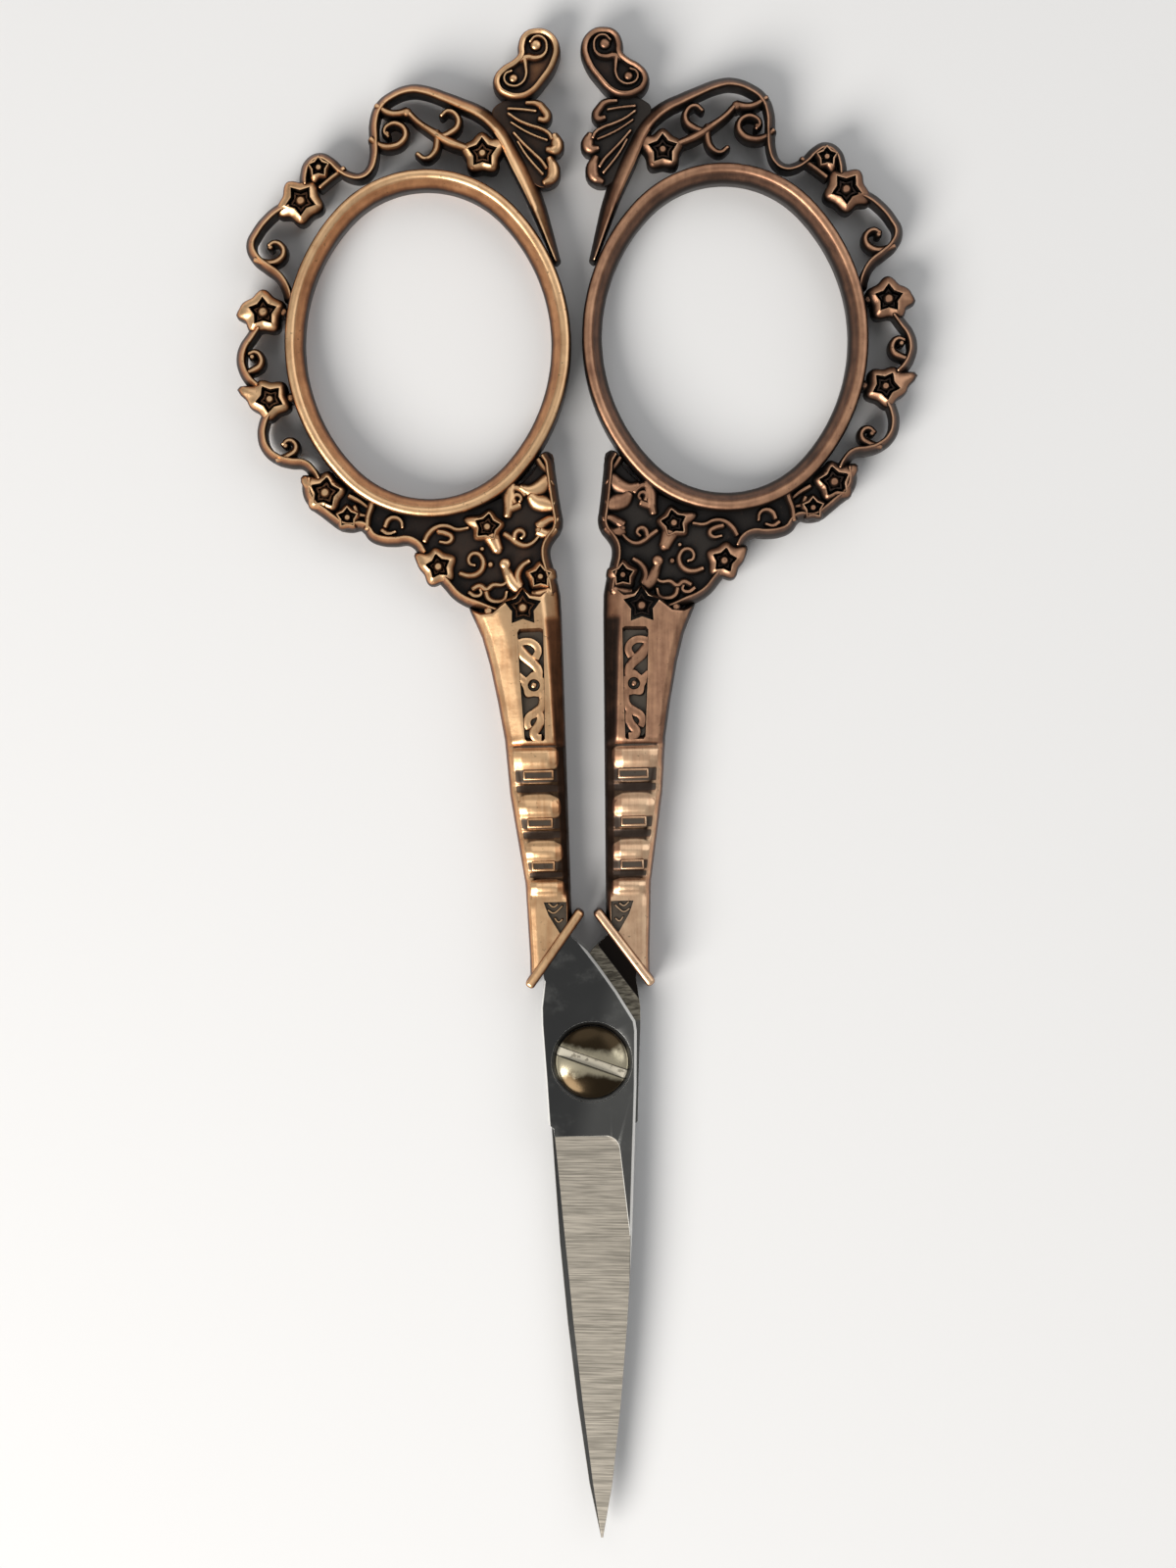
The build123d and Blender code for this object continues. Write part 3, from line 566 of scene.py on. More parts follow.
# %% Shank outline and height
# Place along the shank, and x there
OUTER_EDGE = ((6.3, -4.95), (8.8, -4.95), (14.8, -5.2), (17.4, -5.6), (22.1, -6.3), (26.7, -6.65),
              (29.8, -7.15), (32.9, -7.75), (35.2, -8.35), (36.4, -8.85), (37.3, -9.25), (38.0, -9.5),
              (38.5, -9.6))
INNER_EDGE = ((6.3, -1.40), (12.5, -1.42), (37.0, -1.72), (38.6, -1.78), (39.6, -1.97), (40.6, -2.4),
              (41.2, -2.7))
# Cross sections: share of the way from the inner to the outer edge, and share of the height there
FLARED = ((0, 0), (0.004, 0.38), (0.03, 0.52), (0.17, 0.95), (0.21, 1), (0.64, 1), (0.70, 0.985),
          (0.88, 0.84), (0.955, 0.68), (0.992, 0.45), (1, 0))
TURNED = ((0, 0), (0.006, 0.40), (0.05, 0.62), (0.16, 0.88), (0.30, 0.985), (0.42, 1), (0.62, 1),
          (0.74, 0.985), (0.88, 0.90), (0.955, 0.72), (0.994, 0.42), (1, 0))
NECK = ((0, 0), (0.006, 0.45), (0.04, 0.80), (0.10, 0.97), (0.20, 1), (0.80, 1), (0.90, 0.96),
        (0.96, 0.84), (0.994, 0.5), (1, 0))
# The beads and grooves: place along the shank, and share of the height there
TURNING = (
    (5.0, 0.88), (12.8, 0.90), (13.6, 0.86), (13.9, 0.88), (14.15, 0.97), (14.5, 1.0), (14.85, 0.95),
    (15.1, 0.80), (15.3, 0.73), (15.7, 0.74), (15.85, 0.82), (16.6, 0.84), (16.8, 0.90), (17.0, 0.97),
    (17.4, 1.0), (17.8, 0.95), (18.2, 0.82), (18.6, 0.73), (19.1, 0.73), (19.3, 0.82), (20.15, 0.84),
    (20.4, 0.90), (20.6, 0.97), (21.1, 1.0), (21.6, 0.95), (22.1, 0.80), (22.4, 0.73), (22.9, 0.73),
    (23.1, 0.82), (24.15, 0.84), (24.4, 0.91), (24.7, 0.98), (25.2, 1.0), (25.7, 0.98), (25.95, 0.86),
    (26.15, 0.84), (26.35, 0.96), (26.6, 1.0), (45.0, 1.0))
# The shank's upper end: x, and the place along the shank there
SHANK_TOP = ((-10.6, 38.1), (-9.5, 37.9), (-8.4, 37.4), (-7.4, 37.5), (-6.3, 38.4), (-5.5, 38.8),
             (-4.9, 39.5), (-4.3, 38.9), (-3.4, 38.8), (-2.8, 39.4), (-2.2, 40.8), (-1.7, 41.2))
COLLAR_X = -2.85
COLLAR_Y = 9.4
COLLAR_ANGLE = math.radians(54)
ACROSS_COUNT = 52
ALONG_COUNT = 230
# The grid's rows run with the collar up to NECK_Y, straight across up to CROWN_Y, then with the end.
# NECK_SHARE of them are below NECK_Y, and the share from CROWN_SHARE on bends to the end.
NECK_Y = 13.7
NECK_SHARE = 0.2
CROWN_Y = 36.6
CROWN_SHARE = 0.86
# Corners crowd towards both side walls, where the surface turns down
CROWDING = 0.055
# The last rows round the shank's end off by this share of the height
END_ROUNDING_SHARE = 0.985
END_ROUNDING = 0.35
# Where one cross section changes to the next along the shank
NECK_TO_TURNED = (13.4, 14.4)
TURNED_TO_FLARED = (25.8, 27.0)


def table_value(table, at):
    knots, values = zip(*table)
    return np.interp(at, knots, values)


def ease(value, low, high):
    share = np.clip((value - low) / (high - low), 0, 1)
    return share * share * (3 - 2 * share)


def shank_height(y, across):
    flared = table_value(FLARED, across)
    beads = table_value(TURNED, across)
    beads = beads + (table_value(NECK, across) - beads) * (1 - ease(y, *NECK_TO_TURNED))
    return MIDDLE * (beads + (flared - beads) * ease(y, *TURNED_TO_FLARED)) * table_value(TURNING, y)


def shank():
    bpy.ops.mesh.primitive_grid_add(x_subdivisions=ACROSS_COUNT, y_subdivisions=ALONG_COUNT, size=1)
    piece = bpy.context.active_object
    piece.name = "shank"
    points = corners_of(piece)
    across = 0.5 - points[:, 0]
    along = points[:, 1] + 0.5
    across = across - CROWDING * np.sin(2 * math.pi * across)
    level = NECK_Y + (along - NECK_SHARE) / (1 - NECK_SHARE) * (CROWN_Y - NECK_Y)
    # Each corner's x depends on its y and the other way round, so both are found by repeating
    y = np.full(len(points), 20.0)
    for repeat in range(6):
        inner = table_value(INNER_EDGE, y)
        x = inner + across * (table_value(OUTER_EDGE, y) - inner)
        low = COLLAR_Y + (x - COLLAR_X) * math.tan(COLLAR_ANGLE)
        neck = low + along / NECK_SHARE * (NECK_Y - low)
        crown = level + ease(along, CROWN_SHARE, 1.0) * (table_value(SHANK_TOP, x) - CROWN_Y)
        y = np.where(along < NECK_SHARE, neck, crown)
    height = shank_height(y, across) * (1 - END_ROUNDING * ease(along, END_ROUNDING_SHARE, 1.0))
    # The rim of the grid lies on the middle plane, where the mirrored half meets it
    height[(along > 1 - 0.5 / ALONG_COUNT) | (along < 0.5 / ALONG_COUNT)] = 0
    height[(across < 1e-6) | (across > 1 - 1e-6)] = 0
    move_corners(piece, np.column_stack((x, y + SCREW_Y, height + MIDDLE)) * MM)
    with editing(piece):
        bpy.ops.mesh.select_all(action="SELECT")
        bpy.ops.mesh.duplicate()
        bpy.ops.transform.resize(value=(1, 1, -1), center_override=(0, 0, MIDDLE * MM))
    return cleaned(piece)


shank_piece = shank()
print("Shank:", len(shank_piece.data.polygons), "faces")

# %% [markdown]
# ## Recesses in the shank
#
# A panel, a star and a small three-cornered facet are sunk in both faces. Each is cut with a prism
# whose walls lean outwards, because a casting has to leave its mould.

# %% Cut a recess with leaning walls into both faces
def pit(target, outline, floor, lean, middle=None):
    """Cuts a recess down to the height floor, where it is smaller by the share lean."""
    outline = np.array(outline)
    centre = outline.mean(0) if middle is None else np.array(middle)
    top = 2 * MIDDLE - floor
    count = len(outline)
    spread = 1 + lean * (top - MIDDLE) / (MIDDLE - floor)
    rings = [(1 - lean, floor), (spread, top)]
    for side in (1, -1):
        points = []
        for size, height in rings:
            for spot in centre + (outline - centre) * size:
                points.append((spot[0], spot[1], side * height))
        faces = [tuple(range(count)), tuple(range(count, 2 * count))]
        for step in range(count):
            after = (step + 1) % count
            faces.append((step, after, count + after, count + step))
        combined(target, cleaned(new_piece("cutter", points, faces)), "DIFFERENCE")


STAR_X = -4.9
STAR_Y = 37.55
STAR_TIP = 1.6
STAR_WAIST = 0.95


def star_outline():
    """Five tips with waists between them, the first tip straight up."""
    outline = []
    for step in range(2 * PETALS):
        reach = STAR_WAIST if step % 2 else STAR_TIP
        turn = math.pi / 2 + step * math.pi / PETALS
        outline.append((STAR_X + reach * math.cos(turn), STAR_Y + reach * math.sin(turn)))
    return outline


PANEL = ((-3.25, 35.7), (-3.5, 35.85), (-5.2, 35.8), (-5.4, 35.5), (-5.25, 31.5), (-4.98, 26.75),
         (-4.8, 26.5), (-3.45, 26.5), (-3.3, 26.7), (-3.25, 31.5))
FACET = ((-1.8, 13.3), (-3.75, 13.3), (-3.35, 12.2), (-2.0, 9.9), (-1.8, 11.5))
pit(shank_piece, PANEL, 1.76, 0.07)
pit(shank_piece, FACET, 1.72, 0.06)
pit(shank_piece, star_outline(), 1.15, 0.1, (STAR_X, STAR_Y))
casting_parts.append(shank_piece)
print("Shank with its recesses:", len(shank_piece.data.polygons), "faces")

# %% [markdown]
# ## Vine, rosette and tablets
#
# Broad flat ribbons wind through the sunk panel round a rosette, and each groove between two beads
# holds a small tablet with a fine raised edge. The ribbons are bars again, with a flatter section.

# %% Raised ornament of the shank
RIBBON = ((-0.31, 1.2), (-0.31, 2.0), (-0.25, 2.11), (-0.12, 2.16), (0.12, 2.16), (0.25, 2.11),
          (0.31, 2.0), (0.31, 1.2))
VINE = (
    (((-6.0, 35.9), (-5.6, 34.7), (-4.95, 33.7), (-4.2, 33.0), (-3.75, 32.4), (-3.7, 31.7)),
     (1.1, 1.5, 1.6, 1.4, 1.2)),
    (((-5.3, 34.6), (-4.8, 34.75), (-4.1, 34.6), (-3.7, 34.0), (-3.95, 33.35)), (1.1, 1.1, 1.1, 1.2)),
    (((-5.4, 32.0), (-5.0, 31.6), (-4.6, 31.3)), (1.0, 1.3)),
    (((-3.5, 30.7), (-3.35, 30.0), (-3.5, 29.3), (-4.05, 28.85), (-4.6, 28.5), (-4.75, 28.0),
     (-4.6, 27.6)), (1.3, 1.35, 1.4, 1.2, 1.0)),
    (((-3.75, 29.0), (-3.6, 28.3), (-3.85, 27.7), (-4.2, 27.2), (-4.0, 26.8), (-3.6, 26.75)),
     (1.0, 1.3, 1.4, 1.4, 1.3)),
)
for number, (points, widths) in enumerate(VINE):
    bar(f"vine_{number}", points, RIBBON, widths, steps=5)

# Fine curls on the small facet above the collar
SWIRL = (
    ((-3.3, 13.15), (-2.9, 12.85), (-2.55, 13.05)),
    ((-3.35, 12.6), (-2.9, 12.35), (-2.5, 12.6), (-2.2, 12.9)),
    ((-2.8, 11.9), (-2.5, 11.6), (-2.2, 11.8)),
)
for number, points in enumerate(SWIRL):
    bar(f"swirl_{number}", points, THIN, (0.5,), (1.27,), steps=4)


def rosette():
    def petals(reach, swell):
        return lambda angle: reach + swell * np.cos(PETALS * (angle - math.pi / 2))

    rings = [(0.12, 2.02), (0.22, 1.96), (0.27, 1.72), (0.31, 1.62), (0.40, 1.64), (0.45, 2.05),
             (0.51, 2.16), (0.66, 2.17), (petals(0.98, 0.10), 2.13), (petals(1.10, 0.13), 1.95),
             (petals(1.12, 0.13), 1.0)]
    shaped_disc("rosette", -4.12, 31.13, rings, 40)


def star_plateau():
    """Bead on a low star inside the star recess, so that the recess shows a second outline."""
    def star_line(share):
        return lambda angle: share * star_reach(angle - math.pi / 2, STAR_TIP, STAR_WAIST)

    rings = [(0.25, 1.98), (0.42, 1.84), (0.5, 1.5), (0.56, 1.1), (0.66, 1.1), (star_line(0.5), 1.36),
             (star_line(0.66), 1.36), (star_line(0.76), 1.0)]
    shaped_disc("star_plateau", STAR_X, STAR_Y, rings, 60)


TABLET_LENGTH = 0.86
TABLET_HEIGHT = 3.92
TABLET_RIM = 0.07
TABLET_BEVEL = 0.13


def block(name, size, angle=0.0, middle=(0, 0, 0)):
    """A cube scaled to a size in millimetres, turned about the z axis and moved to its middle."""
    bpy.ops.mesh.primitive_cube_add(size=1)
    piece = bpy.context.active_object
    piece.name = name
    move_corners(piece, turned(corners_of(piece) * np.array(size), angle) * MM + np.array(middle))
    return piece


def tablet(name, x, y, half_width):
    """A bevelled block whose top faces are inset and lowered a little, which leaves a fine rim."""
    piece = block(name, (2 * half_width, TABLET_LENGTH, TABLET_HEIGHT))
    finished(piece, "BEVEL", width=TABLET_BEVEL * MM, segments=3, limit_method="ANGLE")
    for face in piece.data.polygons:
        face.select = abs(face.normal.z) > 0.99 and face.area > 0.5 * MM * MM
    with editing(piece):
        bpy.ops.mesh.select_mode(type="FACE")
        bpy.ops.mesh.inset(thickness=TABLET_RIM * MM, depth=-TABLET_RIM * MM, use_individual=True)
    move_corners(piece, corners_of(piece) + np.array(place(x, y)))
    casting_parts.append(piece)


rosette()
star_plateau()
# Tablets: place and half width
TABLETS = ((-3.9, 23.72, 1.28), (-3.85, 19.78, 1.08), (-3.65, 16.22, 0.98))
for number, numbers in enumerate(TABLETS):
    tablet(f"tablet_{number}", *numbers)
print("Shank ornament:", len(VINE), "ribbons,", len(TABLETS), "tablets")

# %% [markdown]
# ## Collar
#
# The handle ends in a slanting rim in front of the blade. A cube is scaled to a bar, its long edges
# are bevelled, and it is turned to the collar's angle about its own middle.

# %% Collar rim
COLLAR_SIZE = (7.66, 0.8, 4.4)
COLLAR_BEVEL = 0.3
collar = block("collar", COLLAR_SIZE)
finished(collar, "BEVEL", width=COLLAR_BEVEL * MM, segments=4, limit_method="ANGLE")
move_corners(collar, turned(corners_of(collar), COLLAR_ANGLE) + np.array(place(COLLAR_X, COLLAR_Y)))
casting_parts.append(collar)

# %% [markdown]
# ## One casting
#
# The real handle is a single casting, so all the parts are united into one closed skin. The Manifold
# solver does that quickly for closed parts. The right handle is the same casting turned over about
# the scissors' long axis, which keeps its faces pointing outwards.

# %% Unite the parts
def edge_uses(piece):
    """How many faces use each edge: two, where a skin is closed."""
    uses = {}
    for face in piece.data.polygons:
        for key in face.edge_keys:
            uses[key] = uses.get(key, 0) + 1
    return uses


def open_edges(piece):
    return sum(1 for count in edge_uses(piece).values() if count != 2)


def united(name, parts):
    """Unites neighbours in pairs, then the pairs with each other, and so on, to keep each sum small."""
    while len(parts) > 1:
        pairs = [parts[start:start + 2] for start in range(0, len(parts), 2)]
        for pair in pairs:
            if len(pair) == 2:
                combined(pair[0], pair[1], "UNION")
        parts = [pair[0] for pair in pairs]
    parts[0].name = name
    return parts[0]


def without_fins(piece):
    """Deletes tiny triangles that hang on the skin by one edge only, which the unions can leave."""
    while True:
        uses = edge_uses(piece)
        fins = [face.index for face in piece.data.polygons
                if sum(uses[key] == 1 for key in face.edge_keys) > 1]
        if not fins:
            return
        nothing_selected(piece, "FACE")
        for number in fins:
            piece.data.polygons[number].select = True
        with editing(piece):
            bpy.ops.mesh.delete(type="FACE")


left_casting = united("left_casting", casting_parts)
finished(left_casting, "TRIANGULATE")
without_fins(left_casting)
print("Left casting:", len(left_casting.data.polygons), "faces, open edges:", open_edges(left_casting))


def twin(piece, name):
    other = piece.copy()
    other.data = piece.data.copy()
    other.name = name
    return linked(other)


def turned_over(piece, name):
    other = twin(piece, name)
    points = corners_of(other)
    points[:, 0] = -points[:, 0]
    points[:, 2] = 2 * MIDDLE * MM - points[:, 2]
    move_corners(other, points)
    return other


right_casting = turned_over(left_casting, "right_casting")
for piece in (left_casting, right_casting):
    only(piece)
    bpy.ops.object.shade_smooth_by_angle(angle=math.radians(38))

# %% [markdown]
# ## Blades
#
# The blades' CAD solids already have the ground bevel, the chamfers and the screw's recess. In a copy
# of each the doubled corners are merged, the flat faces are joined again, and the sharp edges get a
# fine bevel, so that they catch the light as real edges do.

# %% Blades from copies of their CAD nodes
TANG_REACH = 4.25
TANG_START = 9.0
FLAT_HEIGHT = 1.52
EDGE_BEVEL = 0.04
# The outer edge of the flat beside the screw gets a wider bright bevel: where that is, and how wide
BROKEN_FROM_Y = -5.6
BROKEN_TO_Y = 7.0
BROKEN_BEYOND_X = 3.3
RECESS_REACH = 3.45
BROKEN_BEVEL = 0.14


def is_broken(ends, side):
    """Whether both ends of an edge lie where the bevel is wider. x and y count from the screw."""
    x, y, z = ends.T
    on_face = abs(z - MIDDLE + FLAT_HEIGHT * side) < 0.01
    outside = (x * side > BROKEN_BEYOND_X) & (np.hypot(x, y) > RECESS_REACH)
    return bool((on_face & outside & (y > BROKEN_FROM_Y) & (y < BROKEN_TO_Y)).all())


def dressed_copy(node, name, side):
    """side is -1 for the blade whose tang lies on the left, and 1 for the one turned over."""
    piece = twin(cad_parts[node], name)
    for key in list(piece.keys()):
        del piece[key]
    piece.parent = None
    cleaned(piece, 0.001)
    points = corners_of(piece)
    # The hidden tang is narrower here, so that it stays inside the finer casting's rounded side
    tang = (points[:, 1] > (SCREW_Y + TANG_START) * MM) & (side * points[:, 0] > TANG_REACH * MM)
    points[tang, 0] = side * TANG_REACH * MM
    move_corners(piece, points)
    with editing(piece):
        bpy.ops.mesh.select_all(action="SELECT")
        bpy.ops.mesh.dissolve_limited(angle_limit=math.radians(0.5))
    nothing_selected(piece, "EDGE")
    points = corners_of(piece) / MM - (0, SCREW_Y, 0)
    for edge in piece.data.edges:
        edge.select = is_broken(points[list(edge.vertices)], side)
    with editing(piece):
        bpy.ops.mesh.bevel(offset=BROKEN_BEVEL * MM, segments=1, affect="EDGES")
    print(name, "edges widened:", sum(edge.select for edge in piece.data.edges))
    finished(piece, "BEVEL", width=EDGE_BEVEL * MM, segments=2, limit_method="ANGLE",
             angle_limit=math.radians(35), use_clamp_overlap=True)
    finished(piece, "TRIANGULATE")
    only(piece)
    bpy.ops.object.shade_smooth_by_angle(angle=math.radians(25))
    # Weighted normals keep the large faces flat, and leave the rounding to the narrow bevels
    finished(piece, "WEIGHTED_NORMAL", weight=100, keep_sharp=True)
    return piece


front_steel = dressed_copy("front_blade", "front_steel", -1)
back_steel = dressed_copy("back_blade", "back_steel", 1)
print("Blades:", len(front_steel.data.polygons), len(back_steel.data.polygons), "faces")

# %% [markdown]
# ## Screw
#
# The screw has a low dome with a slot right across it. A cylinder is the shaft. Its top face is
# extruded ring by ring into the head and the dome, and a bar-shaped cutter takes out the slot.

# %% Pivot screw
SCREW_SEGMENTS = 96
HEAD_RADIUS = 3.0
HEAD_SEAT = 1.21
HEAD_RIM = 1.66
HEAD_TOP = 2.41
SHAFT_RADIUS = 1.6
SHAFT_END = -1.52
SLOT_ANGLE = math.radians(-20.5)
SLOT_WIDTH = 0.78
SLOT_DEPTH = 0.5
SEAT_BEVEL = 0.12
HEAD_EDGE_BEVEL = 0.035
RIM_STEP = 0.06
DOME_STEPS = (6, 14, 22, 30, 38, 46, 54, 62, 70, 77, 84)


def raised_top(rise):
    bpy.ops.mesh.extrude_region_move(TRANSFORM_OT_translate={"value": (0, 0, rise * MM)})


def screw():
    bpy.ops.mesh.primitive_cylinder_add(vertices=SCREW_SEGMENTS, radius=SHAFT_RADIUS * MM,
                                        depth=(HEAD_SEAT - SHAFT_END) * MM, end_fill_type="NGON")
    piece = bpy.context.active_object
    piece.name = "dome_screw"
    move_corners(piece, corners_of(piece) + np.array(place(0, 0, (HEAD_SEAT + SHAFT_END) / 2)))
    profile = [(HEAD_RADIUS - SEAT_BEVEL, HEAD_SEAT), (HEAD_RADIUS, HEAD_SEAT + SEAT_BEVEL),
               (HEAD_RADIUS, HEAD_RIM - RIM_STEP)]
    for step in DOME_STEPS:
        rise = math.radians(step)
        profile.append((HEAD_RADIUS * math.cos(rise), HEAD_RIM + (HEAD_TOP - HEAD_RIM) * math.sin(rise)))
    nothing_selected(piece, "FACE")
    for face in piece.data.polygons:
        face.select = face.normal.z > 0.9
    with editing(piece):
        radius, height = SHAFT_RADIUS, HEAD_SEAT
        for next_radius, next_height in profile:
            raised_top(next_height - height)
            bpy.ops.transform.resize(value=(next_radius / radius, next_radius / radius, 1),
                                     center_override=place(0, 0, next_height))
            radius, height = next_radius, next_height
        raised_top(HEAD_TOP - height)
        bpy.ops.mesh.merge(type="CENTER")
    cleaned(piece)
    cutter = block("cutter", (3 * HEAD_RADIUS, SLOT_WIDTH, 2 * SLOT_DEPTH), SLOT_ANGLE,
                   place(0, 0, HEAD_TOP))
    combined(piece, cutter, "DIFFERENCE")
    finished(piece, "BEVEL", width=HEAD_EDGE_BEVEL * MM, segments=2, limit_method="ANGLE",
             angle_limit=math.radians(40))
    finished(piece, "TRIANGULATE")
    only(piece)
    bpy.ops.object.shade_smooth_by_angle(angle=math.radians(30))
    return piece


pivot = screw()
print("Screw:", len(pivot.data.polygons), "faces")

# %% [markdown]
# ## Shader sums written as Python
#
# A material is a graph of nodes. To keep the sums readable, a small class wraps a node's output and
# lets Python's own operators add the Math nodes.

# %% The socket class and the material maker
class Wire:
    def __init__(self, recipe, socket):
        self.recipe = recipe
        self.socket = socket

    def sum(self, operation, *values, clamp=False):
        return self.recipe.node("ShaderNodeMath", {"operation": operation, "use_clamp": clamp},
                                dict(enumerate(values)))

    def at_most(self, other):
        return self.sum("MINIMUM", self, other)

    def clamped(self):
        return self.sum("ADD", self, 0.0, clamp=True)

    def eased(self, low, high):
        return self.recipe.node("ShaderNodeMapRange", {"interpolation_type": "SMOOTHSTEP"},
                                {"Value": self, "From Min": low, "From Max": high})


def operator_method(operation, swapped):
    def method(self, *other):
        values = (*other, self) if swapped else (self, *other)
        return self.sum(operation, *values)
    return method


# Python's operators, the Math node's operations, and whether the wire comes second
OPERATORS = (
    ("__add__", "ADD", False), ("__radd__", "ADD", True), ("__sub__", "SUBTRACT", False),
    ("__rsub__", "SUBTRACT", True), ("__mul__", "MULTIPLY", False), ("__rmul__", "MULTIPLY", True),
    ("__truediv__", "DIVIDE", False), ("__abs__", "ABSOLUTE", False), ("__lt__", "LESS_THAN", False),
    ("__gt__", "GREATER_THAN", False),
)
for name, operation, swapped in OPERATORS:
    setattr(Wire, name, operator_method(operation, swapped))


class Recipe:
    def __init__(self, name):
        self.material = bpy.data.materials.new(name)
        self.material.use_nodes = True
        self.tree = self.material.node_tree
        self.surface = self.tree.nodes["Principled BSDF"]

    def node(self, kind, settings=None, sockets=None, output=0):
        made = self.tree.nodes.new(kind)
        for name, value in (settings or {}).items():
            if name == "stops":
                ramp = made.color_ramp
                while len(ramp.elements) < len(value):
                    ramp.elements.new(1.0)
                for element, (position, colour) in zip(ramp.elements, value):
                    element.position = position
                    element.color = (*colour, 1.0)
            else:
                setattr(made, name, value)
        for name, value in (sockets or {}).items():
            self.link(made.inputs[name], value)
        return Wire(self, made.outputs[output])

    def link(self, socket, value):
        if isinstance(value, Wire):
            self.tree.links.new(value.socket, socket)
        else:
            socket.default_value = value

    def place(self):
        return self.node("ShaderNodeTexCoord", output=3)

    def axes(self, vector):
        split = self.node("ShaderNodeSeparateXYZ", sockets={0: vector})
        return [Wire(self, output) for output in split.socket.node.outputs]

    def noise(self, vector, scale, detail, roughness=0.6):
        return self.node("ShaderNodeTexNoise", sockets={
            "Vector": vector, "Scale": scale, "Detail": detail, "Roughness": roughness})

    def streaks(self, vector, scales, detail=2.0, roughness=0.6, turn=0.0):
        """Noise with a scale of its own along each axis, after a turn about z."""
        stretched = self.node("ShaderNodeMapping", sockets={
            "Vector": vector, "Scale": scales, "Rotation": (0, 0, turn)})
        return self.noise(stretched, 1.0, detail, roughness)

    def sky(self, distance, samples, inside=False):
        """1 where nothing is near and less in corners, or near edges where inside is set."""
        settings = {"samples": samples, "only_local": True, "inside": inside}
        return self.node("ShaderNodeAmbientOcclusion", settings, {"Distance": distance * MM}, output=1)

    def mixed(self, share, first, second):
        first, second = [value if isinstance(value, Wire) else (*value, 1.0) for value in (first, second)]
        # Inputs 6 and 7 and output 2 are the Mix node's colour sockets
        return self.node("ShaderNodeMix", {"data_type": "RGBA"}, {0: share, 6: first, 7: second}, 2)

    def bump(self, height, distance, strength):
        return self.node("ShaderNodeBump", sockets={
            "Height": height, "Distance": distance * MM, "Strength": strength})

    def finish(self, **sockets):
        for name, value in sockets.items():
            self.link(self.surface.inputs[name.replace("_", " ")], value)
        return self.material


# %% [markdown]
# ## Antique copper
#
# The zinc casting is plated with copper, darkened all over, then rubbed bright on its high places.
# So the colour follows the shape: black oxide down in the recesses, brown on the slopes, partly as painted
# shade, and pale rubbed copper on crests. Height above the middle plane and ambient occlusion say where
# that is.

# %% Antique copper, in a brighter copy and a darker, duller one
COPPER_STOPS = (
    (0.0, (0.018, 0.009, 0.005)), (0.25, (0.085, 0.034, 0.015)), (0.5, (0.27, 0.110, 0.047)),
    (0.75, (0.62, 0.30, 0.135)), (1.0, (0.94, 0.60, 0.325)),
)
DEEP_OXIDE = (0.004, 0.003, 0.003)
THIN_OXIDE = (0.040, 0.033, 0.027)
PATINA = (0.105, 0.085, 0.062)
GROOVE_DARK = (0.030, 0.015, 0.008)
SPECK = (0.05, 0.025, 0.015)
# Heights over the middle plane below which a flat counts as sunk, on the shank and at its neck
SUNK_ON_SHANK = (1.895, 1.945)
SUNK_AT_NECK = (1.74, 1.86)
# The shank's outer edge in x: its place at EDGE_FROM_Y, and its slope
EDGE_X = 5.2
EDGE_FROM_Y = 14.8
EDGE_SLOPE = 0.122


def past(y, low, high):
    """0 before the first and 1 after the second of two places, in millimetres from the screw."""
    return y.eased((SCREW_Y + low) * MM, (SCREW_Y + high) * MM)


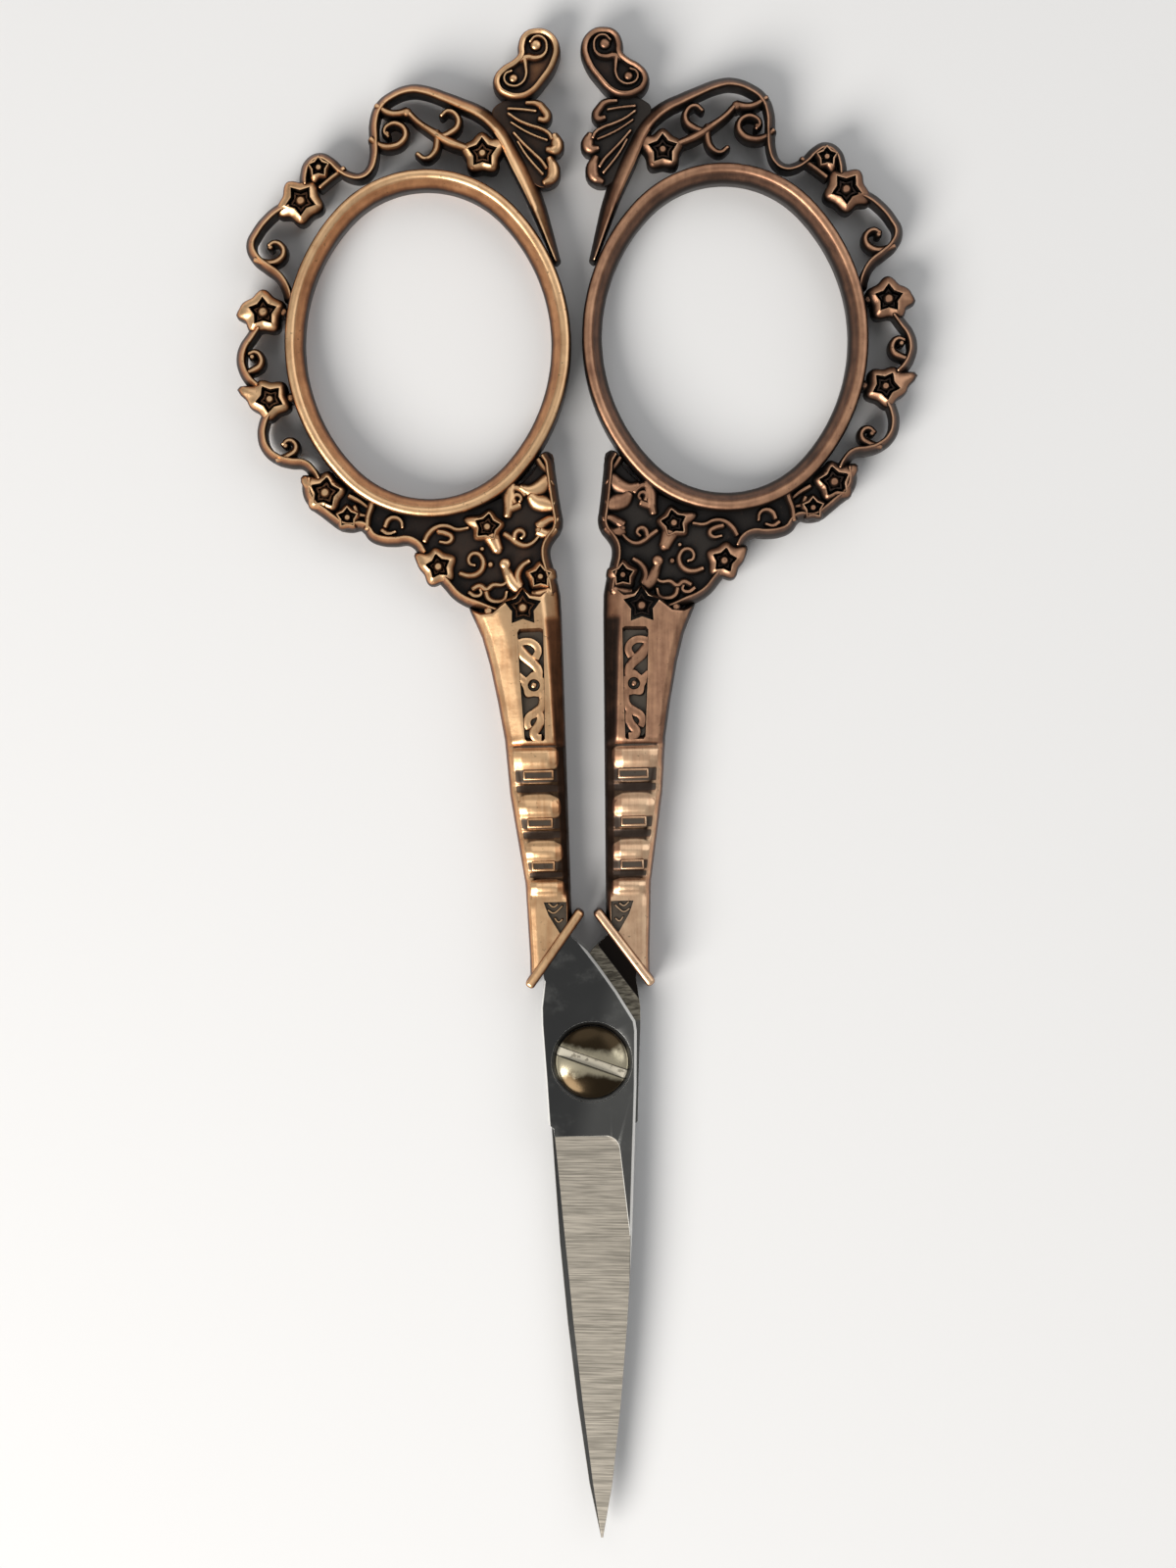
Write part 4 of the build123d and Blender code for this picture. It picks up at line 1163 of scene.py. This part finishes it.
def antique_copper(name, dull, inner):
    """inner is the direction along x of the side that faces the other handle, which gets painted shade on
    the shank.
    """
    made = Recipe(name)
    spot = made.place()
    x, y, z = made.axes(spot)
    height = abs(z - MIDDLE * MM) / MM
    open_sky = made.sky(1.6, 8)
    edge = made.sky(0.3, 6, inside=True)
    mottle = made.noise(spot, 700, 4.0)
    patches = made.noise(spot, 160, 3.0)
    specks = made.noise(spot, 2600, 2.0)
    streaks = made.streaks(spot, (3000, 170, 900))
    aside, _, above = made.axes(made.node("ShaderNodeNewGeometry", output=1))
    up = abs(above)
    flat = up.eased(0.86, 0.97)
    # The shank stands higher than the filigree, so what counts as low there is higher too
    shank = 1 - past(y, 36.3, 37.0)
    above_neck = past(y, 13.8, 14.4)
    low_flat = flat * ((1 - height.eased(*SUNK_ON_SHANK)) * above_neck
                       + (1 - height.eased(*SUNK_AT_NECK)) * (1 - above_neck))
    # The flared flat's outer facet is low too, and stays bright: only its sunk panel takes the patina
    beside_panel = (abs(x) / MM).eased(5.5, 5.7) * past(y, 26.0, 26.4)
    low_flat = low_flat * (1 - beside_panel)
    below_flared = 1 - past(y, 25.9, 26.5)
    # The dark of the grooves ends before the shank's outer edge, which hands have rubbed
    beyond_edge = abs(x) / MM - EDGE_X - EDGE_SLOPE * (y / MM - SCREW_Y - EDGE_FROM_Y)
    groove = (above_neck * below_flared * (1 - height.eased(1.70, 1.80)) * up.eased(0.15, 0.4)
              * (1 - beyond_edge.eased(-0.85, -0.5)))
    high = height.eased(0.75, 1.55) * (1 - shank) + (1 - 0.8 * low_flat) * shank
    # Faces that tilt away from straight up take less of the bright copper: partly rubbing, partly painted
    # shade on the slopes
    crest = up.eased(0.1, 0.85) * (1 - shank) + (0.35 + 0.65 * up.eased(0.2, 0.9)) * shank
    # Painted shade on the shank's side that faces the other handle
    inner_side_shade = 1 - 0.55 * (inner * aside).eased(0.15, 0.6) * shank
    rubbed = high * crest * inner_side_shade * open_sky.eased(0.4, 0.9) + 0.3 * (1 - edge.eased(0.3, 0.75)) * high
    rubbed = (rubbed + 0.4 * (mottle - 0.5) + 0.4 * (patches - 0.5)
              + 0.35 * (streaks - 0.5) * (0.4 + 0.6 * shank) - dull * (1 - 0.8 * below_flared)).clamped()
    copper = made.node("ShaderNodeValToRGB", {"stops": COPPER_STOPS}, {"Fac": rubbed})
    sunk = up.eased(0.9, 0.98) * (1 - height.eased(1.2, 1.34)) * (1 - 0.3 * mottle)
    dirt = (sunk + 1 - open_sky.eased(0.15, 0.6)).clamped()
    oxide = made.mixed(open_sky.eased(0.55, 0.9) * (0.4 + 0.8 * patches), DEEP_OXIDE, THIN_OXIDE)
    colour = made.mixed(dirt * 0.95, copper, oxide)
    # Grey-brown patina in the panel and on the tablets
    patina = shank * low_flat * (0.5 + mottle).at_most(1.0)
    colour = made.mixed(patina * 0.75, colour, PATINA)
    colour = made.mixed(groove * (0.65 + 0.5 * mottle).at_most(1.0), colour, GROOVE_DARK)
    colour = made.mixed(specks.eased(0.66, 0.74) * 0.5, colour, SPECK)
    colour = made.node("ShaderNodeHueSaturation", sockets={"Saturation": 1 - 0.4 * dull, "Color": colour})
    metal = 0.6 + 0.4 * rubbed
    rough = 0.46 - 0.12 * rubbed + 0.2 * (mottle - 0.5)
    skin = made.bump(0.6 * mottle + 0.4 * specks + 0.3 * streaks, 0.03, 0.6)
    return made.finish(Base_Color=colour, Metallic=metal.clamped(), Roughness=rough, Normal=skin)


copper_left = antique_copper("antique_copper", 0.02, 1)
copper_right = antique_copper("antique_copper_dull", 0.38, -1)

# %% [markdown]
# ## Steel
#
# The blade's flat is polished almost to a mirror, and its bevel is ground with lines across the
# blade. The two are told apart by how far a face tilts, below the ricasso.

# %% Polished and ground steel
# The polished flat's colours are a painted reflection: nearly black, and grey towards the spine
PAINTED_BLACK_REFLECTION = (0.105, 0.106, 0.105)
PAINTED_GREY_REFLECTION = (0.23, 0.23, 0.22)
SMUDGE = (0.34, 0.34, 0.32)
GROUND_DARK = (0.13, 0.120, 0.102)
GROUND_PALE = (0.30, 0.275, 0.235)
GROUND_BAND = (0.09, 0.083, 0.07)
STRIP_DARK = (0.13, 0.115, 0.09)
STRIP_PALE = (0.42, 0.38, 0.30)
# Painted shadow on the back blade next to the collar
PAINTED_SHADOW_BY_COLLAR = (0.012, 0.010, 0.009)
# Painted highlight on the bevelled edges
PAINTED_EDGE_HIGHLIGHT = (0.80, 0.79, 0.76)
CUTTING_EDGE = (0.05, 0.045, 0.038)


def blade_steel(name, covered):
    """covered is true for the back blade, which shows a ground strip beside the front blade and a painted
    shadow beyond it.
    """
    made = Recipe(name)
    spot = made.place()
    x, y, _ = made.axes(spot)
    tilt = abs(made.axes(made.node("ShaderNodeNewGeometry", output=3))[2])
    smudges = made.streaks(spot, (300, 300, 300), 5.0, 0.7)
    veil = made.noise(spot, 130, 2.0)
    scratches = made.streaks(spot, (250, 9000, 250), roughness=0.7)
    bands = made.streaks(spot, (60, 1500, 60))
    ground = (1 - tilt.eased(0.975, 0.995)) * tilt.eased(0.80, 0.9) * (1 - past(y, -6.3, -6.0))
    edge = (1 - tilt.eased(0.80, 0.9)) * tilt.eased(0.15, 0.35)
    # Polished flat: a painted reflection, nearly black and lighter in a wedge towards the spine, with grey
    # smudges
    reflection_wedge = (x / MM - 0.25 * (y / MM - SCREW_Y)).eased(-0.8, 1.6)
    polished = made.mixed(reflection_wedge * 0.75 + 0.5 * (veil - 0.5), PAINTED_BLACK_REFLECTION, PAINTED_GREY_REFLECTION)
    polished = made.mixed(smudges.eased(0.50, 0.75) * 0.5, polished, SMUDGE)
    grey = made.mixed(scratches.eased(0.3, 0.72), GROUND_DARK, GROUND_PALE)
    grey = made.mixed(bands.eased(0.5, 0.75) * 0.35, grey, GROUND_BAND)
    colour = made.mixed(ground, polished, grey)
    rough = 0.14 + 0.12 * smudges + ground * (0.28 + 0.12 * scratches)
    if covered:
        # Distance from the front blade's shoulder, with grinding marks square to it
        away = (x / MM + 1.5) * 0.81 + (y / MM - SCREW_Y - 10.4) * 0.587
        marks = made.streaks(spot, (900, 5200, 300), roughness=0.7, turn=math.radians(36))
        strip = away.eased(-0.1, 0.05) * (1 - away.eased(1.25, 1.35)) * (y / MM - SCREW_Y).eased(3.0, 3.6)
        # Beyond the strip, next to the collar, the back blade gets a painted shadow
        dark = away.eased(1.25, 1.35) * (y / MM - SCREW_Y).eased(3.4, 4.2)
        colour = made.mixed(strip, colour, made.mixed(marks.eased(0.35, 0.65), STRIP_DARK, STRIP_PALE))
        colour = made.mixed(dark, colour, PAINTED_SHADOW_BY_COLLAR)
        rough = rough + 0.3 * strip + 0.35 * dark
    # The edges get a painted highlight: pale and less metallic, so they never look dark. The cutting edge
    # below the ricasso is the exception.
    cutting = (x < 0.0) * (y < (SCREW_Y - 5.5) * MM)
    colour = made.mixed(edge * (1 - cutting), colour, PAINTED_EDGE_HIGHLIGHT)
    colour = made.mixed(edge * cutting, colour, CUTTING_EDGE)
    rough = rough + edge * 0.3
    skin = made.bump(scratches * ground, 0.012, 0.7)
    return made.finish(Base_Color=colour, Metallic=1 - 0.7 * edge, Roughness=rough, Normal=skin)


# The dome's two colours are a painted reflection: a painted highlight and painted shade
DOME_PAINTED_HIGHLIGHT = (0.74, 0.66, 0.47)
DOME_PAINTED_SHADE = (0.055, 0.038, 0.021)
SLOT_BRIGHT = (0.80, 0.74, 0.60)
SLOT_PIT = (0.22, 0.19, 0.14)
SCREW_DARK = (0.03, 0.024, 0.018)


def screw_steel():
    made = Recipe("screw_steel")
    spot = made.place()
    x, y, z = made.axes(spot)
    wear = made.noise(spot, 900, 4.0)
    pits = made.noise(spot, 1900, 2.0)
    open_sky = made.sky(0.3, 6)
    # Distance from the slot's middle line, and the slot's floor
    beyond = (y / MM - SCREW_Y) * math.cos(SLOT_ANGLE) - x / MM * math.sin(SLOT_ANGLE)
    along = x / MM * math.cos(SLOT_ANGLE) + (y / MM - SCREW_Y) * math.sin(SLOT_ANGLE)
    from_slot = abs(beyond)
    floor = 1 - (z / MM).eased(MIDDLE + HEAD_TOP - 0.49, MIDDLE + HEAD_TOP - 0.44)
    floor = floor * (from_slot < 0.42)
    # Painted reflection on the dome: a painted highlight beside the slot, most at its right above and at
    # its left below, and painted shade further out
    dome_reflection = (from_slot - 0.22 * beyond * along + 1.1 * (wear - 0.5)).eased(0.55, 1.35)
    dome = made.mixed(dome_reflection, DOME_PAINTED_HIGHLIGHT, DOME_PAINTED_SHADE)
    bright = made.mixed(pits.eased(0.56, 0.66) * 0.7, SLOT_BRIGHT, SLOT_PIT)
    colour = made.mixed(floor, dome, bright)
    # Darker along both walls of the slot and in the corners
    colour = made.mixed((from_slot > 0.33) * (from_slot < 0.43) * 0.85, colour, SCREW_DARK)
    colour = made.mixed(1 - open_sky.eased(0.35, 0.75), colour, SCREW_DARK)
    rough = 0.15 + 0.14 * wear + 0.25 * floor
    skin = made.bump(wear + 0.5 * pits, 0.012, 0.5)
    return made.finish(Base_Color=colour, Metallic=1.0, Roughness=rough, Normal=skin)


# %% Dress the pieces: each rides on a body and replaces a CAD node, which is hidden
DRESSED = (
    (left_casting, copper_left, "front_half", "left_handle", "antique_copper"),
    (right_casting, copper_right, "back_half", "right_handle", "antique_copper"),
    (front_steel, blade_steel("front_blade_steel", False), "front_half", "front_blade", "blade_steel"),
    (back_steel, blade_steel("back_blade_steel", True), "back_half", "back_blade", "blade_steel"),
    (pivot, screw_steel(), "back_half", "pivot_screw", "screw_steel"),
)
for piece, material, body, node, slot in DRESSED:
    piece.data.materials.clear()
    piece.data.materials.append(material)
    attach(piece, body)
    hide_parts(node)
    print(piece.name, "rides on", body, "and stands for", node)

# %% [markdown]
# ## Studio
#
# A pale floor under the scissors keeps their soft shadow. Three soft lamps and a pale sky light it.
# The camera looks straight down, as the photograph does, turned so that the scissors lean by a little
# over a degree.

# %% Floor
PALE = (0.80, 0.80, 0.80)
bpy.ops.mesh.primitive_plane_add(size=3.0)
floor = bpy.context.active_object
floor.name = "floor"
floor.data.materials.append(Recipe("pale_floor").finish(Base_Color=(*PALE, 1), Roughness=0.9))

# %% Lamps and sky: each lamp's place and size in metres, power in watts, and colour
SKY_STRENGTH = 0.38
LAMPS = (
    ("key", (-0.30, -0.32, 0.38), 0.38, 3.5, (1.0, 0.97, 0.93)),
    ("fill", (0.34, 0.20, 0.42), 0.50, 0.6, (0.96, 0.98, 1.0)),
    ("top", (-0.10, 0.40, 0.50), 0.50, 0.4, (1.0, 0.99, 0.98)),
)
for name, spot, size, power, colour in LAMPS:
    bpy.ops.object.light_add(type="AREA", location=spot)
    lamp = bpy.context.active_object
    lamp.name = name
    lamp.data.shape = "DISK"
    lamp.data.size = size
    lamp.data.energy = power
    lamp.data.color = colour
    lamp.rotation_euler = (-Vector(spot)).to_track_quat("-Z", "Y").to_euler()

world = bpy.data.worlds.new("studio")
bpy.context.scene.world = world
world.use_nodes = True
sky = world.node_tree.nodes["Background"]
sky.inputs["Color"].default_value = (*PALE, 1)
sky.inputs["Strength"].default_value = SKY_STRENGTH

# %% Camera over the middle, at the photograph's scale
# The long side in metres of what the camera sees at the middle plane
FRAME_LONG_SIDE = 0.1299
LENS = 85.0
SENSOR = 36.0
AIM = (0.16 * MM, 0.0, MIDDLE * MM)
LEAN = math.atan2(0.0213, 0.9998)
bpy.ops.object.camera_add()
camera = bpy.context.active_object
camera.data.lens = LENS
camera.data.sensor_width = SENSOR
camera.data.clip_start = 0.01
camera.data.clip_end = 10
camera.location = (AIM[0], AIM[1], AIM[2] + FRAME_LONG_SIDE * LENS / SENSOR)
camera.rotation_euler = (0, 0, -LEAN)
bpy.context.scene.camera = camera
bpy.context.scene.view_settings.view_transform = "Standard"
